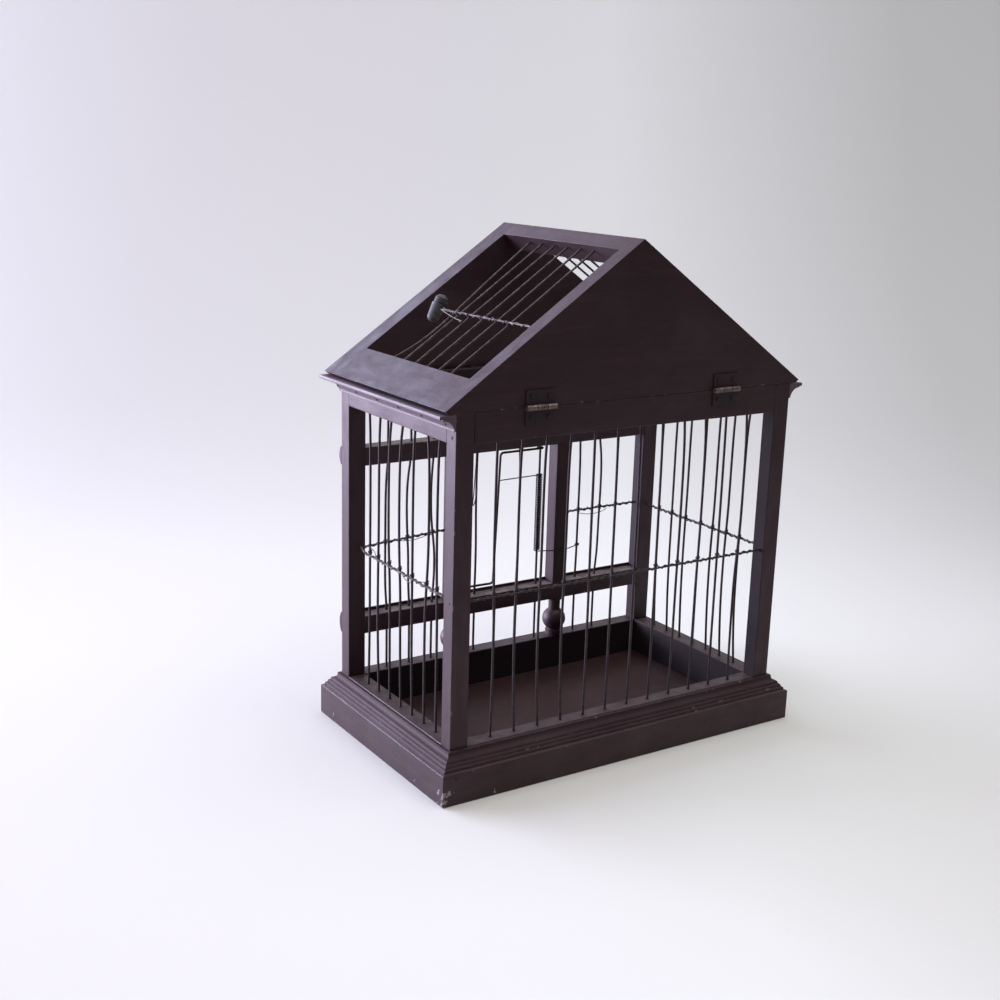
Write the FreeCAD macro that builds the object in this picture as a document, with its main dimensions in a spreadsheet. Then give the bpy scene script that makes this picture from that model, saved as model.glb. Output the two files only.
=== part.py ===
import FreeCAD, Part
import math
import os
import re
import Sketcher

# A house-shaped wooden bird cage with wire walls, a roof hinged along its front edge,
# and a sprung wire gate in the back wall. Millimetres, X along the front, Y to the back, Z up.
# The origin is on the table under the middle of the plinth.

SIZES = [
    ("frame_width", 314.0),
    ("frame_depth", 177.0),
    ("frame_height", 288.5),
    ("post_width", 15.0),
    ("post_depth", 13.0),
    ("edge_round", 0.6),
    ("floor_lift", 2.0),
    ("floor_thickness", 6.0),
    ("base_height", 38.0),
    ("top_rail_height", 22.5),
    ("plinth_projection", 13.0),
    ("plinth_moulding_height", 13.0),
    ("plinth_corner_round", 0.8),
    ("plinth_step", 2.4),
    ("plinth_step_rise", 0.7),
    ("plinth_reveal", 0.6),
    ("reed_size", 1.8),
    ("reed_rise", 0.6),
    ("plinth_lip", 2.6),
    ("plinth_lip_height", 0.9),
    ("cornice_projection", 13.4),
    ("cornice_height", 11.6),
    ("cornice_drop", 0.4),
    ("cornice_foot", 1.6),
    ("cornice_foot_height", 1.5),
    ("cornice_fillet", 10.8),
    ("cornice_fillet_height", 1.0),
    ("cornice_lip_height", 2.6),
    ("cornice_lip_round", 0.7),
    ("wire_diameter", 2.0),
    ("hole_slack", 0.05),
    ("wire_seat", 9.0),
    ("hole_spare", 0.3),
    ("front_wire_count", 12),
    ("front_wire_margin", 23.75),
    ("side_wire_count", 7),
    ("side_wire_margin", 20.9),
    ("bind_diameter", 1.6),
    ("bind_share", 0.487),
    ("bind_slack", 0.05),
    ("back_rail_height", 15.0),
    ("lower_rail_rise", 35.5),
    ("upper_rail_drop", 35.0),
    ("strip_depth", 4.0),
    ("strip_edge", 1.0),
    ("lower_strip_lip", 2.3),
    ("door_post_width", 14.5),
    ("baluster_foot_diameter", 15.0),
    ("baluster_foot_height", 4.5),
    ("baluster_waist_diameter", 12.0),
    ("baluster_waist_height", 1.5),
    ("baluster_bulb_diameter", 21.0),
    ("baluster_neck_diameter", 10.6),
    ("baluster_collar_diameter", 13.0),
    ("baluster_collar_height", 2.4),
    ("ridge_rise", 114.5),
    ("eave_lift", 2.2),
    ("eave_overhang", 9.0),
    ("eave_setback", 2.8),
    ("roof_gap", 0.3),
    ("roof_back_overhang", 12.0),
    ("gable_thickness", 14.0),
    ("back_gable_thickness", 19.0),
    ("slope_board_thickness", 10.0),
    ("eave_board_width", 33.5),
    ("ridge_board_width", 14.5),
    ("ridge_board_thickness", 15.5),
    ("roof_wire_count", 6),
    ("roof_wire_margin", 34.7),
    ("roof_bind_distance", 107.5),
    ("toggle_from_back", 21.5),
    ("toggle_length", 23.5),
    ("toggle_head_diameter", 10.8),
    ("toggle_neck_diameter", 9.6),
    ("toggle_body_diameter", 12.2),
    ("toggle_tail_diameter", 9.6),
    ("toggle_head_height", 7.4),
    ("toggle_groove_height", 1.4),
    ("toggle_tilt", 30.0),
    ("hinge_inset", 69.5),
    ("hinge_width", 25.4),
    ("leaf_height", 12.6),
    ("leaf_thickness", 1.0),
    ("barrel_diameter", 4.2),
    ("barrel_gap", 0.1),
    ("knuckle_gap", 0.3),
    ("pin_diameter", 2.0),
    ("pin_fit", 0.05),
    ("pin_end", 0.6),
    ("screw_spread", 15.0),
    ("screw_rise", 7.6),
    ("screw_diameter", 2.0),
    ("screw_length", 9.0),
    ("screw_head_diameter", 3.8),
    ("screw_head_height", 0.6),
    ("gate_fit", 0.08),
    ("gate_head_gap", 3.0),
    ("gate_foot_gap", 8.5),
    ("gate_lean", 4.5),
    ("gate_foot_reach", 6.2),
    ("gate_bend", 3.0),
    ("gate_clearance", 0.45),
    ("spring_wire", 1.0),
    ("spring_mean_radius", 2.5),
    ("spring_foot_gap", 22.4),
    ("spring_head_gap", 23.6),
    ("spring_pitch", 1.52),
    ("spring_touch", 0.3),
]
NAMES = {name for name, size in SIZES}

doc = FreeCAD.newDocument("BirdCage")
sheet = doc.addObject("Spreadsheet::Sheet", "Sizes")
for row, (name, size) in enumerate(SIZES, start=1):
    sheet.set("A%d" % row, name)
    sheet.set("B%d" % row, str(size))
    sheet.setAlias("B%d" % row, name)
doc.recompute()

parts = []

# Places that several pieces share, written in terms of the sheet
HALF_WIDTH = "frame_width / 2"
HALF_DEPTH = "frame_depth / 2"
INNER_WIDTH = "(frame_width - 2 * post_width)"
INNER_DEPTH = "(frame_depth - 2 * post_depth)"
FLOOR_TOP = "(floor_lift + floor_thickness)"
TOP_RAIL_BOTTOM = "(frame_height - top_rail_height)"
FRONT_WIRE_Y = "((frame_depth - post_depth) / 2)"
SIDE_WIRE_X = "((frame_width - post_width) / 2)"
HOLE_RADIUS = "(wire_diameter / 2 + hole_slack)"
HOLE_DEPTH = "(wire_seat + hole_spare)"
LOWER_RAIL_BOTTOM = "(base_height + lower_rail_rise)"
LOWER_RAIL_TOP = "(%s + back_rail_height)" % LOWER_RAIL_BOTTOM
UPPER_RAIL_TOP = "(%s - upper_rail_drop)" % TOP_RAIL_BOTTOM
UPPER_RAIL_BOTTOM = "(%s - back_rail_height)" % UPPER_RAIL_TOP
BIND_HEIGHT = "(base_height + bind_share * (%s - base_height))" % TOP_RAIL_BOTTOM
BIND_OFFSET = "((wire_diameter + bind_diameter) / 2 + bind_slack)"
FRONT_PITCH = "((%s - 2 * front_wire_margin) / (front_wire_count - 1))" % INNER_WIDTH
SIDE_PITCH = "((%s - 2 * side_wire_margin) / (side_wire_count - 1))" % INNER_DEPTH
DOOR_POST_X = "(2.5 * %s)" % FRONT_PITCH
PIVOT_X = "(1.5 * %s)" % FRONT_PITCH
GATE_X = "(-0.5 * %s)" % FRONT_PITCH
JAMB_X = "(-1.5 * %s)" % FRONT_PITCH
GATE_TOP = "(%s - gate_head_gap)" % UPPER_RAIL_BOTTOM
GATE_FOOT = "(%s + gate_foot_gap)" % LOWER_RAIL_TOP
SPRING_BOTTOM = "(%s + spring_foot_gap)" % GATE_FOOT
SPRING_TOP = "(%s - spring_head_gap)" % GATE_TOP
ROOF_BASE = "(frame_height + roof_gap)"
ROOF_FRONT = "(-frame_depth / 2)"
ROOF_BACK = "(frame_depth / 2 + roof_back_overhang)"
ROOF_INNER_FRONT = "(gable_thickness - frame_depth / 2)"
ROOF_INNER_BACK = "(frame_depth / 2 + roof_back_overhang - back_gable_thickness)"
ROOF_OPENING = "(%s - %s)" % (ROOF_INNER_BACK, ROOF_INNER_FRONT)
EAVE_HEIGHT = "(%s + eave_lift)" % ROOF_BASE
RIDGE_HEIGHT = "(%s + ridge_rise)" % EAVE_HEIGHT
EAVE_REACH = "(frame_width / 2 + eave_overhang)"
SLOPE_LENGTH = "sqrt(%s ^ 2 + ridge_rise ^ 2)" % EAVE_REACH
SLOPE_COS = "(%s / %s)" % (EAVE_REACH, SLOPE_LENGTH)
SLOPE_SIN = "(ridge_rise / %s)" % SLOPE_LENGTH
RIGHT_SLOPE_ANGLE = "atan2(ridge_rise; %s)" % EAVE_REACH
LEFT_SLOPE_ANGLE = "atan2(ridge_rise; -%s)" % EAVE_REACH
EAVE_EDGE = "(%s - eave_board_width)" % SLOPE_LENGTH
ROOF_BIND_DEPTH = "(%s - slope_board_thickness / 2)" % BIND_OFFSET
ROOF_BIND_OUT = "(roof_bind_distance * %s + %s * %s)" % (SLOPE_COS, ROOF_BIND_DEPTH, SLOPE_SIN)
ROOF_BIND_DROP = "(roof_bind_distance * %s - %s * %s)" % (SLOPE_SIN, ROOF_BIND_DEPTH, SLOPE_COS)
ROOF_BIND_UP = "(%s - %s)" % (RIDGE_HEIGHT, ROOF_BIND_DROP)
HINGE_X = "(frame_width / 2 - hinge_inset)"
HINGE_AXIS_Y = "(-frame_depth / 2 - barrel_diameter / 2 - barrel_gap)"
HINGE_AXIS_Z = "(frame_height + roof_gap / 2)"
LEAF_BACK = "(barrel_diameter / 2 + barrel_gap)"


def sized(text):
    """Point every size name in an expression at the sheet."""
    def reference(word):
        return "Sizes." + word.group() if word.group() in NAMES else word.group()
    return re.sub(r"[a-z][a-z_0-9]*", reference, text)


def bind(thing, path, text):
    """Tie a property to an expression of the sheet."""
    thing.setExpression(path, sized(text))


def value(text):
    """The number that an expression of the sheet has now."""
    result = sheet.evalExpression(sized(text))
    return float(getattr(result, "Value", result))


def new_body(label):
    """An empty body that becomes one sub-part."""
    body = doc.addObject("PartDesign::Body", label)
    body.Label = label
    body.AllowCompound = True
    parts.append(body)
    return body


def place(body, x_text, y_text, z_text):
    """Put a body's own origin at a point."""
    for axis, text in zip("xyz", (x_text, y_text, z_text)):
        bind(body, "Placement.Base." + axis, text)


def turn(body, axis, angle_text):
    """Turn a body about an axis through its own origin."""
    body.Placement = FreeCAD.Placement(FreeCAD.Vector(), FreeCAD.Rotation(axis, value(angle_text)))
    bind(body, "Placement.Rotation.Angle", angle_text)


def new_sketch(body, name, role, offset):
    """A sketch on one of the body's origin planes, moved along that plane's normal."""
    plane = [feature for feature in body.Origin.OriginFeatures if feature.Role == role][0]
    sketch = body.newObject("Sketcher::SketchObject", name)
    sketch.AttachmentSupport = [(plane, "")]
    sketch.MapMode = "FlatFace"
    bind(sketch, "AttachmentOffset.Base.z", offset)
    return sketch


def fix_point(sketch, geometry, position, x_text, y_text):
    """Hold one point of a sketch at a place given by two expressions."""
    for kind, text in (("DistanceX", x_text), ("DistanceY", y_text)):
        rule = Sketcher.Constraint(kind, -1, 1, geometry, position, value(text))
        index = sketch.addConstraint(rule)
        bind(sketch, "Constraints[%d]" % index, text)


def arc_between(start, end, radius, side):
    """The arc of under half a circle from start to end, turning left for side 1, right for side -1."""
    chord = end - start
    sagitta_leg = math.sqrt(max(radius ** 2 - (chord.Length / 2) ** 2, 0.0))
    left = FreeCAD.Vector(-chord.y, chord.x, 0).normalize()
    centre = (start + end) * 0.5 + left * (sagitta_leg * side)
    first, last = (start, end) if side > 0 else (end, start)
    angles = [math.atan2(point.y - centre.y, point.x - centre.x) for point in (first, last)]
    return Part.ArcOfCircle(Part.Circle(centre, FreeCAD.Vector(0, 0, 1), radius), angles[0], angles[1])


def outline(sketch, points):
    """A closed outline. Each point is (x, y), or (x, y, radius, side) where an arc arrives at it."""
    corners = [FreeCAD.Vector(value(point[0]), value(point[1]), 0) for point in points]
    ends = []
    for number, corner in enumerate(corners):
        arriving = points[(number + 1) % len(points)]
        following = corners[(number + 1) % len(points)]
        if len(arriving) == 2:
            geometry = sketch.addGeometry(Part.LineSegment(corner, following))
            ends.append((geometry, 1, 2))
        else:
            geometry = sketch.addGeometry(arc_between(corner, following, value(arriving[2]), arriving[3]))
            ends.append((geometry, 1, 2) if arriving[3] > 0 else (geometry, 2, 1))
    for number, (geometry, start, end) in enumerate(ends):
        following, following_start, following_end = ends[(number + 1) % len(ends)]
        sketch.addConstraint(Sketcher.Constraint("Coincident", geometry, end, following, following_start))
    for number, (geometry, start, end) in enumerate(ends):
        fix_point(sketch, geometry, start, points[number][0], points[number][1])
        arriving = points[(number + 1) % len(points)]
        if len(arriving) == 4:
            index = sketch.addConstraint(Sketcher.Constraint("Radius", geometry, value(arriving[2])))
            bind(sketch, "Constraints[%d]" % index, arriving[2])


def circles(sketch, centres, radius_text):
    """Equal circles at the given centres."""
    for x_text, y_text in centres:
        centre = FreeCAD.Vector(value(x_text), value(y_text), 0)
        circle = Part.Circle(centre, FreeCAD.Vector(0, 0, 1), value(radius_text))
        geometry = sketch.addGeometry(circle)
        fix_point(sketch, geometry, 3, x_text, y_text)
        index = sketch.addConstraint(Sketcher.Constraint("Radius", geometry, value(radius_text)))
        bind(sketch, "Constraints[%d]" % index, radius_text)


def pad(body, sketch, length_text, reverse=False, middle=False):
    """Raise a sketch into a solid."""
    feature = body.newObject("PartDesign::Pad", sketch.Name + "_pad")
    feature.Profile = sketch
    feature.Reversed = reverse
    feature.Midplane = middle
    bind(feature, "Length", length_text)
    return feature


def cut(body, sketch, length_text, reverse=False, middle=False):
    """Cut a sketch out of the body, and make sure that it took material away."""
    doc.recompute()
    before = body.Shape.Volume
    feature = body.newObject("PartDesign::Pocket", sketch.Name + "_cut")
    feature.Profile = sketch
    feature.Reversed = reverse
    feature.Midplane = middle
    bind(feature, "Length", length_text)
    doc.recompute()
    if body.Shape.Volume >= before:
        raise ValueError("%s took nothing away" % sketch.Name)
    return feature


def drill(body, name, role, offset, centres, radius_text, depth_text, reverse=False):
    """Round holes that start on a plane and go against its normal, or with it where reversed."""
    sketch = new_sketch(body, name, role, offset)
    circles(sketch, centres, radius_text)
    cut(body, sketch, depth_text, reverse)


def revolve(body, sketch):
    """Turn a profile once round the sketch's upright axis."""
    feature = body.newObject("PartDesign::Revolution", sketch.Name + "_turned")
    feature.Profile = sketch
    feature.ReferenceAxis = (sketch, ["V_Axis"])
    feature.Angle = 360.0
    return feature


def bar(label, size, corner, long_axis=None):
    """A straight sawn bar from its low corner, its long edges eased where an axis is named."""
    body = new_body(label)
    block = body.newObject("PartDesign::AdditiveBox", label + "_block")
    for path, text in zip(("Length", "Width", "Height"), size):
        bind(block, path, text)
    for axis, text in zip("xyz", corner):
        bind(block, "Placement.Base." + axis, text)
    doc.recompute()
    if long_axis:
        edges = []
        for number, edge in enumerate(block.Shape.Edges, start=1):
            direction = edge.Vertexes[1].Point - edge.Vertexes[0].Point
            if abs(abs(direction.normalize().dot(long_axis)) - 1) < 1e-6:
                edges.append("Edge%d" % number)
        ease = body.newObject("PartDesign::Fillet", label + "_eased")
        ease.Base = (block, edges)
        bind(ease, "Radius", "edge_round")
        doc.recompute()
    return body


X_AXIS = FreeCAD.Vector(1, 0, 0)
Y_AXIS = FreeCAD.Vector(0, 1, 0)
Z_AXIS = FreeCAD.Vector(0, 0, 1)


def spread(count_name, pitch):
    """Evenly pitched places about the middle, as expressions."""
    count = int(value(count_name))
    return ["(%g * %s)" % (number - (count - 1) / 2, pitch) for number in range(count)]


FRONT_PLACES = spread("front_wire_count", FRONT_PITCH)
SIDE_PLACES = spread("side_wire_count", SIDE_PITCH)
FULL_BACK_PLACES = [FRONT_PLACES[number] for number in (0, 1, 2, 4, 6, 9, 10, 11)]
PIVOT_PLACE = FRONT_PLACES[7]
GATE_PLACE = FRONT_PLACES[5]
POST_PLACES = [FRONT_PLACES[3], FRONT_PLACES[8]]

# Floor and frame of posts and rails


def make_floor():
    bar("floor_panel", ("frame_width", "frame_depth", "floor_thickness"),
        ("-" + HALF_WIDTH, "-" + HALF_DEPTH, "floor_lift"))


def make_posts():
    """Four full-height corner posts standing on the floor panel."""
    for front, y_text in (("front", "-" + HALF_DEPTH), ("back", HALF_DEPTH + " - post_depth")):
        for side, x_text in (("left", "-" + HALF_WIDTH), ("right", HALF_WIDTH + " - post_width")):
            bar("post_%s_%s" % (front, side), ("post_width", "post_depth", "frame_height - " + FLOOR_TOP),
                (x_text, y_text, FLOOR_TOP), Z_AXIS)


def drill_rail(body, label, centres, top):
    """Blind wire holes: into the top face of a bottom rail, or the underside of a top rail."""
    if top:
        drill(body, label + "_holes", "XY_Plane", TOP_RAIL_BOTTOM, centres, HOLE_RADIUS, HOLE_DEPTH, True)
    else:
        drill(body, label + "_holes", "XY_Plane", "base_height", centres, HOLE_RADIUS, HOLE_DEPTH)


def back_places(top):
    """The back wall's wires: two places have a door post, with a baluster under it."""
    return [text for text in FRONT_PLACES if top or text not in POST_PLACES]


def make_rails():
    """Rails between the posts at the foot and the head of the frame, drilled for the wires."""
    for level in ("bottom", "top"):
        top = level == "top"
        z_text = TOP_RAIL_BOTTOM if top else FLOOR_TOP
        height = "top_rail_height" if top else "base_height - " + FLOOR_TOP
        for end, sign in (("front", "-"), ("back", "")):
            label = "%s_rail_%s" % (level, end)
            y_text = "-" + HALF_DEPTH if end == "front" else HALF_DEPTH + " - post_depth"
            corner = ("-%s / 2" % INNER_WIDTH, y_text, z_text)
            body = bar(label, (INNER_WIDTH, "post_depth", height), corner, X_AXIS)
            places = FRONT_PLACES if end == "front" else back_places(top)
            drill_rail(body, label, [(text, sign + FRONT_WIRE_Y) for text in places], top)
            if label == "top_rail_front":
                drill(body, label + "_pilots", "XZ_Plane", HALF_DEPTH, screw_places("-"),
                      "(screw_diameter / 2 + hole_slack)", "screw_length + hole_spare")
        for side, sign in (("left", "-"), ("right", "")):
            label = "%s_rail_%s" % (level, side)
            x_text = "-" + HALF_WIDTH if side == "left" else HALF_WIDTH + " - post_width"
            corner = (x_text, "-%s / 2" % INNER_DEPTH, z_text)
            body = bar(label, ("post_width", INNER_DEPTH, height), corner, Y_AXIS)
            drill_rail(body, label, [(sign + SIDE_WIRE_X, text) for text in SIDE_PLACES], top)


# Mouldings round the frame

CUT_OVERRUN = "(plinth_projection / 2)"


def moulding(label, run_text, reach_text, angle, base, profile, ends):
    """A moulding along local X with its back at local y 0, then turned and moved to its side.

    The profile is in distance out from the frame and height. Each end is mitred or square.
    """
    body = new_body(label)
    section = new_sketch(body, label + "_section", "YZ_Plane", "0")
    flipped = []
    for point in profile:
        place_text = ("-(%s)" % point[0], point[1])
        flipped.append(place_text if len(point) == 2 else place_text + (point[2], -point[3]))
    outline(section, flipped)
    pad(body, section, "%s + 2 * %s" % (run_text, reach_text), middle=True)
    half = "%s / 2" % run_text
    tip = "(%s + %s + %s)" % (half, reach_text, CUT_OVERRUN)
    front = "-(%s + %s)" % (reach_text, CUT_OVERRUN)
    for number, (end, sign) in enumerate(zip(ends, ("-", ""))):
        if end == "mitre":
            corners = [("%s - %s" % (half, CUT_OVERRUN), CUT_OVERRUN), (tip, front), (tip, CUT_OVERRUN)]
        else:
            corners = [(half, CUT_OVERRUN), (half, front), (tip, front), (tip, CUT_OVERRUN)]
        plan = new_sketch(body, "%s_end_%d" % (label, number), "XY_Plane", "0")
        outline(plan, [("%s(%s)" % (sign, x_text), y_text) for x_text, y_text in corners])
        cut(body, plan, "4 * frame_height", middle=True)
    turn(body, Z_AXIS, angle)
    place(body, base[0], base[1], "0")
    return body


def plinth_profile():
    """Plain face with eased corners, a small step, three reeds, a cove and a thin top lip."""
    top = "(base_height - plinth_reveal)"
    face = "(base_height - plinth_moulding_height)"
    points = [("0", "0"),
              ("plinth_projection - plinth_corner_round", "0"),
              ("plinth_projection", "plinth_corner_round", "plinth_corner_round", 1),
              ("plinth_projection", "%s - plinth_corner_round" % face),
              ("plinth_projection - plinth_corner_round", face, "plinth_corner_round", 1)]
    out = "(plinth_projection - plinth_step)"
    up = "(%s + plinth_step_rise)" % face
    points.append((out, up))
    for number in range(3):
        up = "(%s + reed_rise)" % up
        points.append((out, up))
        out = "(%s - reed_size)" % out
        up = "(%s + reed_size)" % up
        points.append((out, up, "reed_size", 1))
    lip_foot = "(%s - plinth_lip_height)" % top
    chord = "sqrt((%s - plinth_lip) ^ 2 + (%s - %s) ^ 2)" % (out, lip_foot, up)
    points.append(("plinth_lip", lip_foot, "0.75 * " + chord, -1))
    points.append(("plinth_lip", top))
    points.append(("0", top))
    return points


def cornice_profile():
    """A small foot, a cove, a fillet and a rounded top lip."""
    top = "(frame_height - cornice_drop)"
    foot = "(%s - cornice_height)" % top
    cove_low = "(%s + cornice_foot_height)" % foot
    fillet_low = "(%s - cornice_lip_height - cornice_fillet_height)" % top
    lip_low = "(%s - cornice_lip_height)" % top
    chord = "sqrt((cornice_fillet - cornice_foot) ^ 2 + (%s - %s) ^ 2)" % (fillet_low, cove_low)
    lip_inner = "cornice_projection - cornice_lip_round"
    return [("0", foot),
            ("cornice_foot", foot),
            ("cornice_foot", cove_low),
            ("cornice_fillet", fillet_low, "0.8 * " + chord, -1),
            ("cornice_fillet", lip_low),
            (lip_inner, lip_low),
            ("cornice_projection", "%s + cornice_lip_round" % lip_low, "cornice_lip_round", 1),
            ("cornice_projection", "%s - cornice_lip_round" % top),
            (lip_inner, top, "cornice_lip_round", 1),
            ("0", top)]


def strip_profile(bottom, top):
    """A half-round strip."""
    crown = "(strip_depth - strip_edge)"
    radius = "(((%s - %s) / 2) ^ 2 + %s ^ 2) / (2 * %s)" % (top, bottom, crown, crown)
    return [("0", bottom), ("strip_edge", bottom), ("strip_edge", top, radius, 1), ("0", top)]


SIDE_RUNS = {
    "front": ("frame_width", "0", ("0", "-" + HALF_DEPTH)),
    "right": ("frame_depth", "90", (HALF_WIDTH, "0")),
    "back": ("frame_width", "180", ("0", HALF_DEPTH)),
    "left": ("frame_depth", "270", ("-" + HALF_WIDTH, "0")),
}


def make_mouldings():
    """Plinth all round, cornice on three sides, and half-round strips behind the back rails."""
    for side, (run_text, angle, base) in SIDE_RUNS.items():
        moulding("plinth_" + side, run_text, "plinth_projection", angle, base, plinth_profile(),
                 ("mitre", "mitre"))
    cornice_ends = {"right": ("square", "mitre"), "back": ("mitre", "mitre"), "left": ("mitre", "square")}
    for side, ends in cornice_ends.items():
        run_text, angle, base = SIDE_RUNS[side]
        moulding("cornice_" + side, run_text, "cornice_projection", angle, base, cornice_profile(), ends)
    run_text, angle, base = SIDE_RUNS["back"]
    square = ("square", "square")
    moulding("back_upper_strip", run_text, "strip_depth", angle, base,
             strip_profile(UPPER_RAIL_BOTTOM, UPPER_RAIL_TOP), square)
    moulding("back_lower_strip", run_text, "strip_depth", angle, base,
             strip_profile(LOWER_RAIL_BOTTOM, "(%s + lower_strip_lip)" % LOWER_RAIL_TOP), square)


# Back wall: middle rails, door posts, balusters

SHORT_BACK_PLACES = [GATE_PLACE] + POST_PLACES
DOOR_SIDES = (("left", "-"), ("right", ""))


def make_back_rails():
    """Two middle rails with through holes for the long wires and blind holes for the short ones."""
    for label, bottom, top in (("back_lower_rail", LOWER_RAIL_BOTTOM, LOWER_RAIL_TOP),
                               ("back_upper_rail", UPPER_RAIL_BOTTOM, UPPER_RAIL_TOP)):
        body = bar(label, (INNER_WIDTH, "post_depth", "back_rail_height"),
                   ("-%s / 2" % INNER_WIDTH, HALF_DEPTH + " - post_depth", bottom), X_AXIS)
        long_places = [(text, FRONT_WIRE_Y) for text in FULL_BACK_PLACES + [PIVOT_PLACE]]
        drill(body, label + "_through", "XY_Plane", top, long_places, HOLE_RADIUS, "back_rail_height")
        if label == "back_lower_rail":
            drill(body, label + "_blind", "XY_Plane", bottom, [(GATE_PLACE, FRONT_WIRE_Y)],
                  HOLE_RADIUS, HOLE_DEPTH, True)
        else:
            short_places = [(text, FRONT_WIRE_Y) for text in SHORT_BACK_PLACES]
            drill(body, label + "_blind", "XY_Plane", top, short_places, HOLE_RADIUS, HOLE_DEPTH)


def make_door_posts():
    """An upright on each side of the gate, between the middle rails."""
    size = ("door_post_width", "post_depth", "%s - %s" % (UPPER_RAIL_BOTTOM, LOWER_RAIL_TOP))
    for side, sign in DOOR_SIDES:
        corner = ("%s%s - door_post_width / 2" % (sign, DOOR_POST_X), HALF_DEPTH + " - post_depth",
                  LOWER_RAIL_TOP)
        bar("door_post_" + side, size, corner, Z_AXIS)


def make_baluster(side, sign):
    """A turned stub under a door post: foot, waist, bulb, neck and collar."""
    body = new_body("turned_baluster_" + side)
    profile = new_sketch(body, "baluster_profile_" + side, "XZ_Plane", "0")
    height = "lower_rail_rise"
    ball = "sqrt(baluster_bulb_diameter ^ 2 - %s ^ 2) / 2"
    waist = "baluster_waist_diameter / 2"
    bulb_low = "(baluster_foot_height + baluster_waist_height)"
    bulb_middle = "(%s + %s)" % (bulb_low, ball % "baluster_waist_diameter")
    bulb_top = "(%s + %s)" % (bulb_middle, ball % "baluster_neck_diameter")
    neck = "baluster_neck_diameter / 2"
    collar_low = "(%s - baluster_collar_height)" % height
    outline(profile, [("0", "0"),
                      ("baluster_foot_diameter / 2", "0"),
                      ("baluster_foot_diameter / 2", "baluster_foot_height"),
                      (waist, "baluster_foot_height"),
                      (waist, bulb_low),
                      (neck, bulb_top, "baluster_bulb_diameter / 2", 1),
                      (neck, collar_low),
                      ("baluster_collar_diameter / 2", collar_low),
                      ("baluster_collar_diameter / 2", height),
                      ("0", height)])
    revolve(body, profile)
    place(body, sign + DOOR_POST_X, FRONT_WIRE_Y, "base_height")


# Wires of the walls

WIRE_FOOT = "(base_height - wire_seat)"
WIRE_HEAD = "(%s + wire_seat)" % TOP_RAIL_BOTTOM


def wires(body, name, centres, low, high):
    """Upright wires from one height to another."""
    sketch = new_sketch(body, name, "XY_Plane", low)
    circles(sketch, centres, "wire_diameter / 2")
    pad(body, sketch, "%s - %s" % (high, low))


def make_wall_wires():
    """Upright wires of the four walls; the back wall's short ones stop at the middle rails."""
    wires(new_body("front_wires"), "front_wire", [(text, "-" + FRONT_WIRE_Y) for text in FRONT_PLACES],
          WIRE_FOOT, WIRE_HEAD)
    wires(new_body("left_wires"), "left_wire", [("-" + SIDE_WIRE_X, text) for text in SIDE_PLACES],
          WIRE_FOOT, WIRE_HEAD)
    wires(new_body("right_wires"), "right_wire", [(SIDE_WIRE_X, text) for text in SIDE_PLACES],
          WIRE_FOOT, WIRE_HEAD)
    body = new_body("back_wires")
    wires(body, "back_wire", [(text, FRONT_WIRE_Y) for text in FULL_BACK_PLACES], WIRE_FOOT, WIRE_HEAD)
    wires(body, "back_low_wire", [(GATE_PLACE, FRONT_WIRE_Y)], WIRE_FOOT,
          "(%s + wire_seat)" % LOWER_RAIL_BOTTOM)
    wires(body, "back_high_wire", [(text, FRONT_WIRE_Y) for text in SHORT_BACK_PLACES],
          "(%s - wire_seat)" % UPPER_RAIL_TOP, WIRE_HEAD)
    wires(new_body("door_pivot_wire"), "pivot_wire", [(PIVOT_PLACE, FRONT_WIRE_Y)], WIRE_FOOT, WIRE_HEAD)


def make_bind_wires():
    """Cross wires at mid height, on the outside of the uprights, from post to post."""
    front_y = "(%s + %s)" % (FRONT_WIRE_Y, BIND_OFFSET)
    side_x = "(%s + %s)" % (SIDE_WIRE_X, BIND_OFFSET)
    half_inner = "%s / 2" % INNER_WIDTH
    door_side = "(%s + door_post_width / 2)" % DOOR_POST_X
    along_x = [("bind_wire_front", "-" + front_y, "-" + half_inner, half_inner),
               ("bind_wire_back_left", front_y, "-" + half_inner, "-" + door_side),
               ("bind_wire_back_right", front_y, door_side, half_inner)]
    for label, y_text, start, end in along_x:
        body = new_body(label)
        sketch = new_sketch(body, label + "_section", "YZ_Plane", start)
        circles(sketch, [(y_text, BIND_HEIGHT)], "bind_diameter / 2")
        pad(body, sketch, "%s - (%s)" % (end, start))
    for label, x_text in (("bind_wire_left", "-" + side_x), ("bind_wire_right", side_x)):
        body = new_body(label)
        sketch = new_sketch(body, label + "_section", "XZ_Plane", "0")
        circles(sketch, [(x_text, BIND_HEIGHT)], "bind_diameter / 2")
        pad(body, sketch, INNER_DEPTH, middle=True)


# Roof


def make_gables():
    """Two solid triangular boards that carry the roof's slope boards."""
    setback = "(%s - eave_setback)" % EAVE_REACH
    triangle = [("0", RIDGE_HEIGHT), ("-" + EAVE_REACH, EAVE_HEIGHT), ("-" + setback, ROOF_BASE),
                (setback, ROOF_BASE), (EAVE_REACH, EAVE_HEIGHT)]
    for label, face, thickness in (("gable_front", "-%s" % ROOF_INNER_FRONT, "gable_thickness"),
                                   ("gable_back", "-%s" % ROOF_BACK, "back_gable_thickness")):
        body = new_body(label)
        sketch = new_sketch(body, label + "_outline", "XZ_Plane", face)
        outline(sketch, triangle)
        pad(body, sketch, thickness)
        if label == "gable_front":
            drill(body, label + "_pilots", "XZ_Plane", HALF_DEPTH, screw_places(""),
                  "(screw_diameter / 2 + hole_slack)", "screw_length + hole_spare")
        else:
            doc.recompute()
        drill_gable(body, label)


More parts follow.
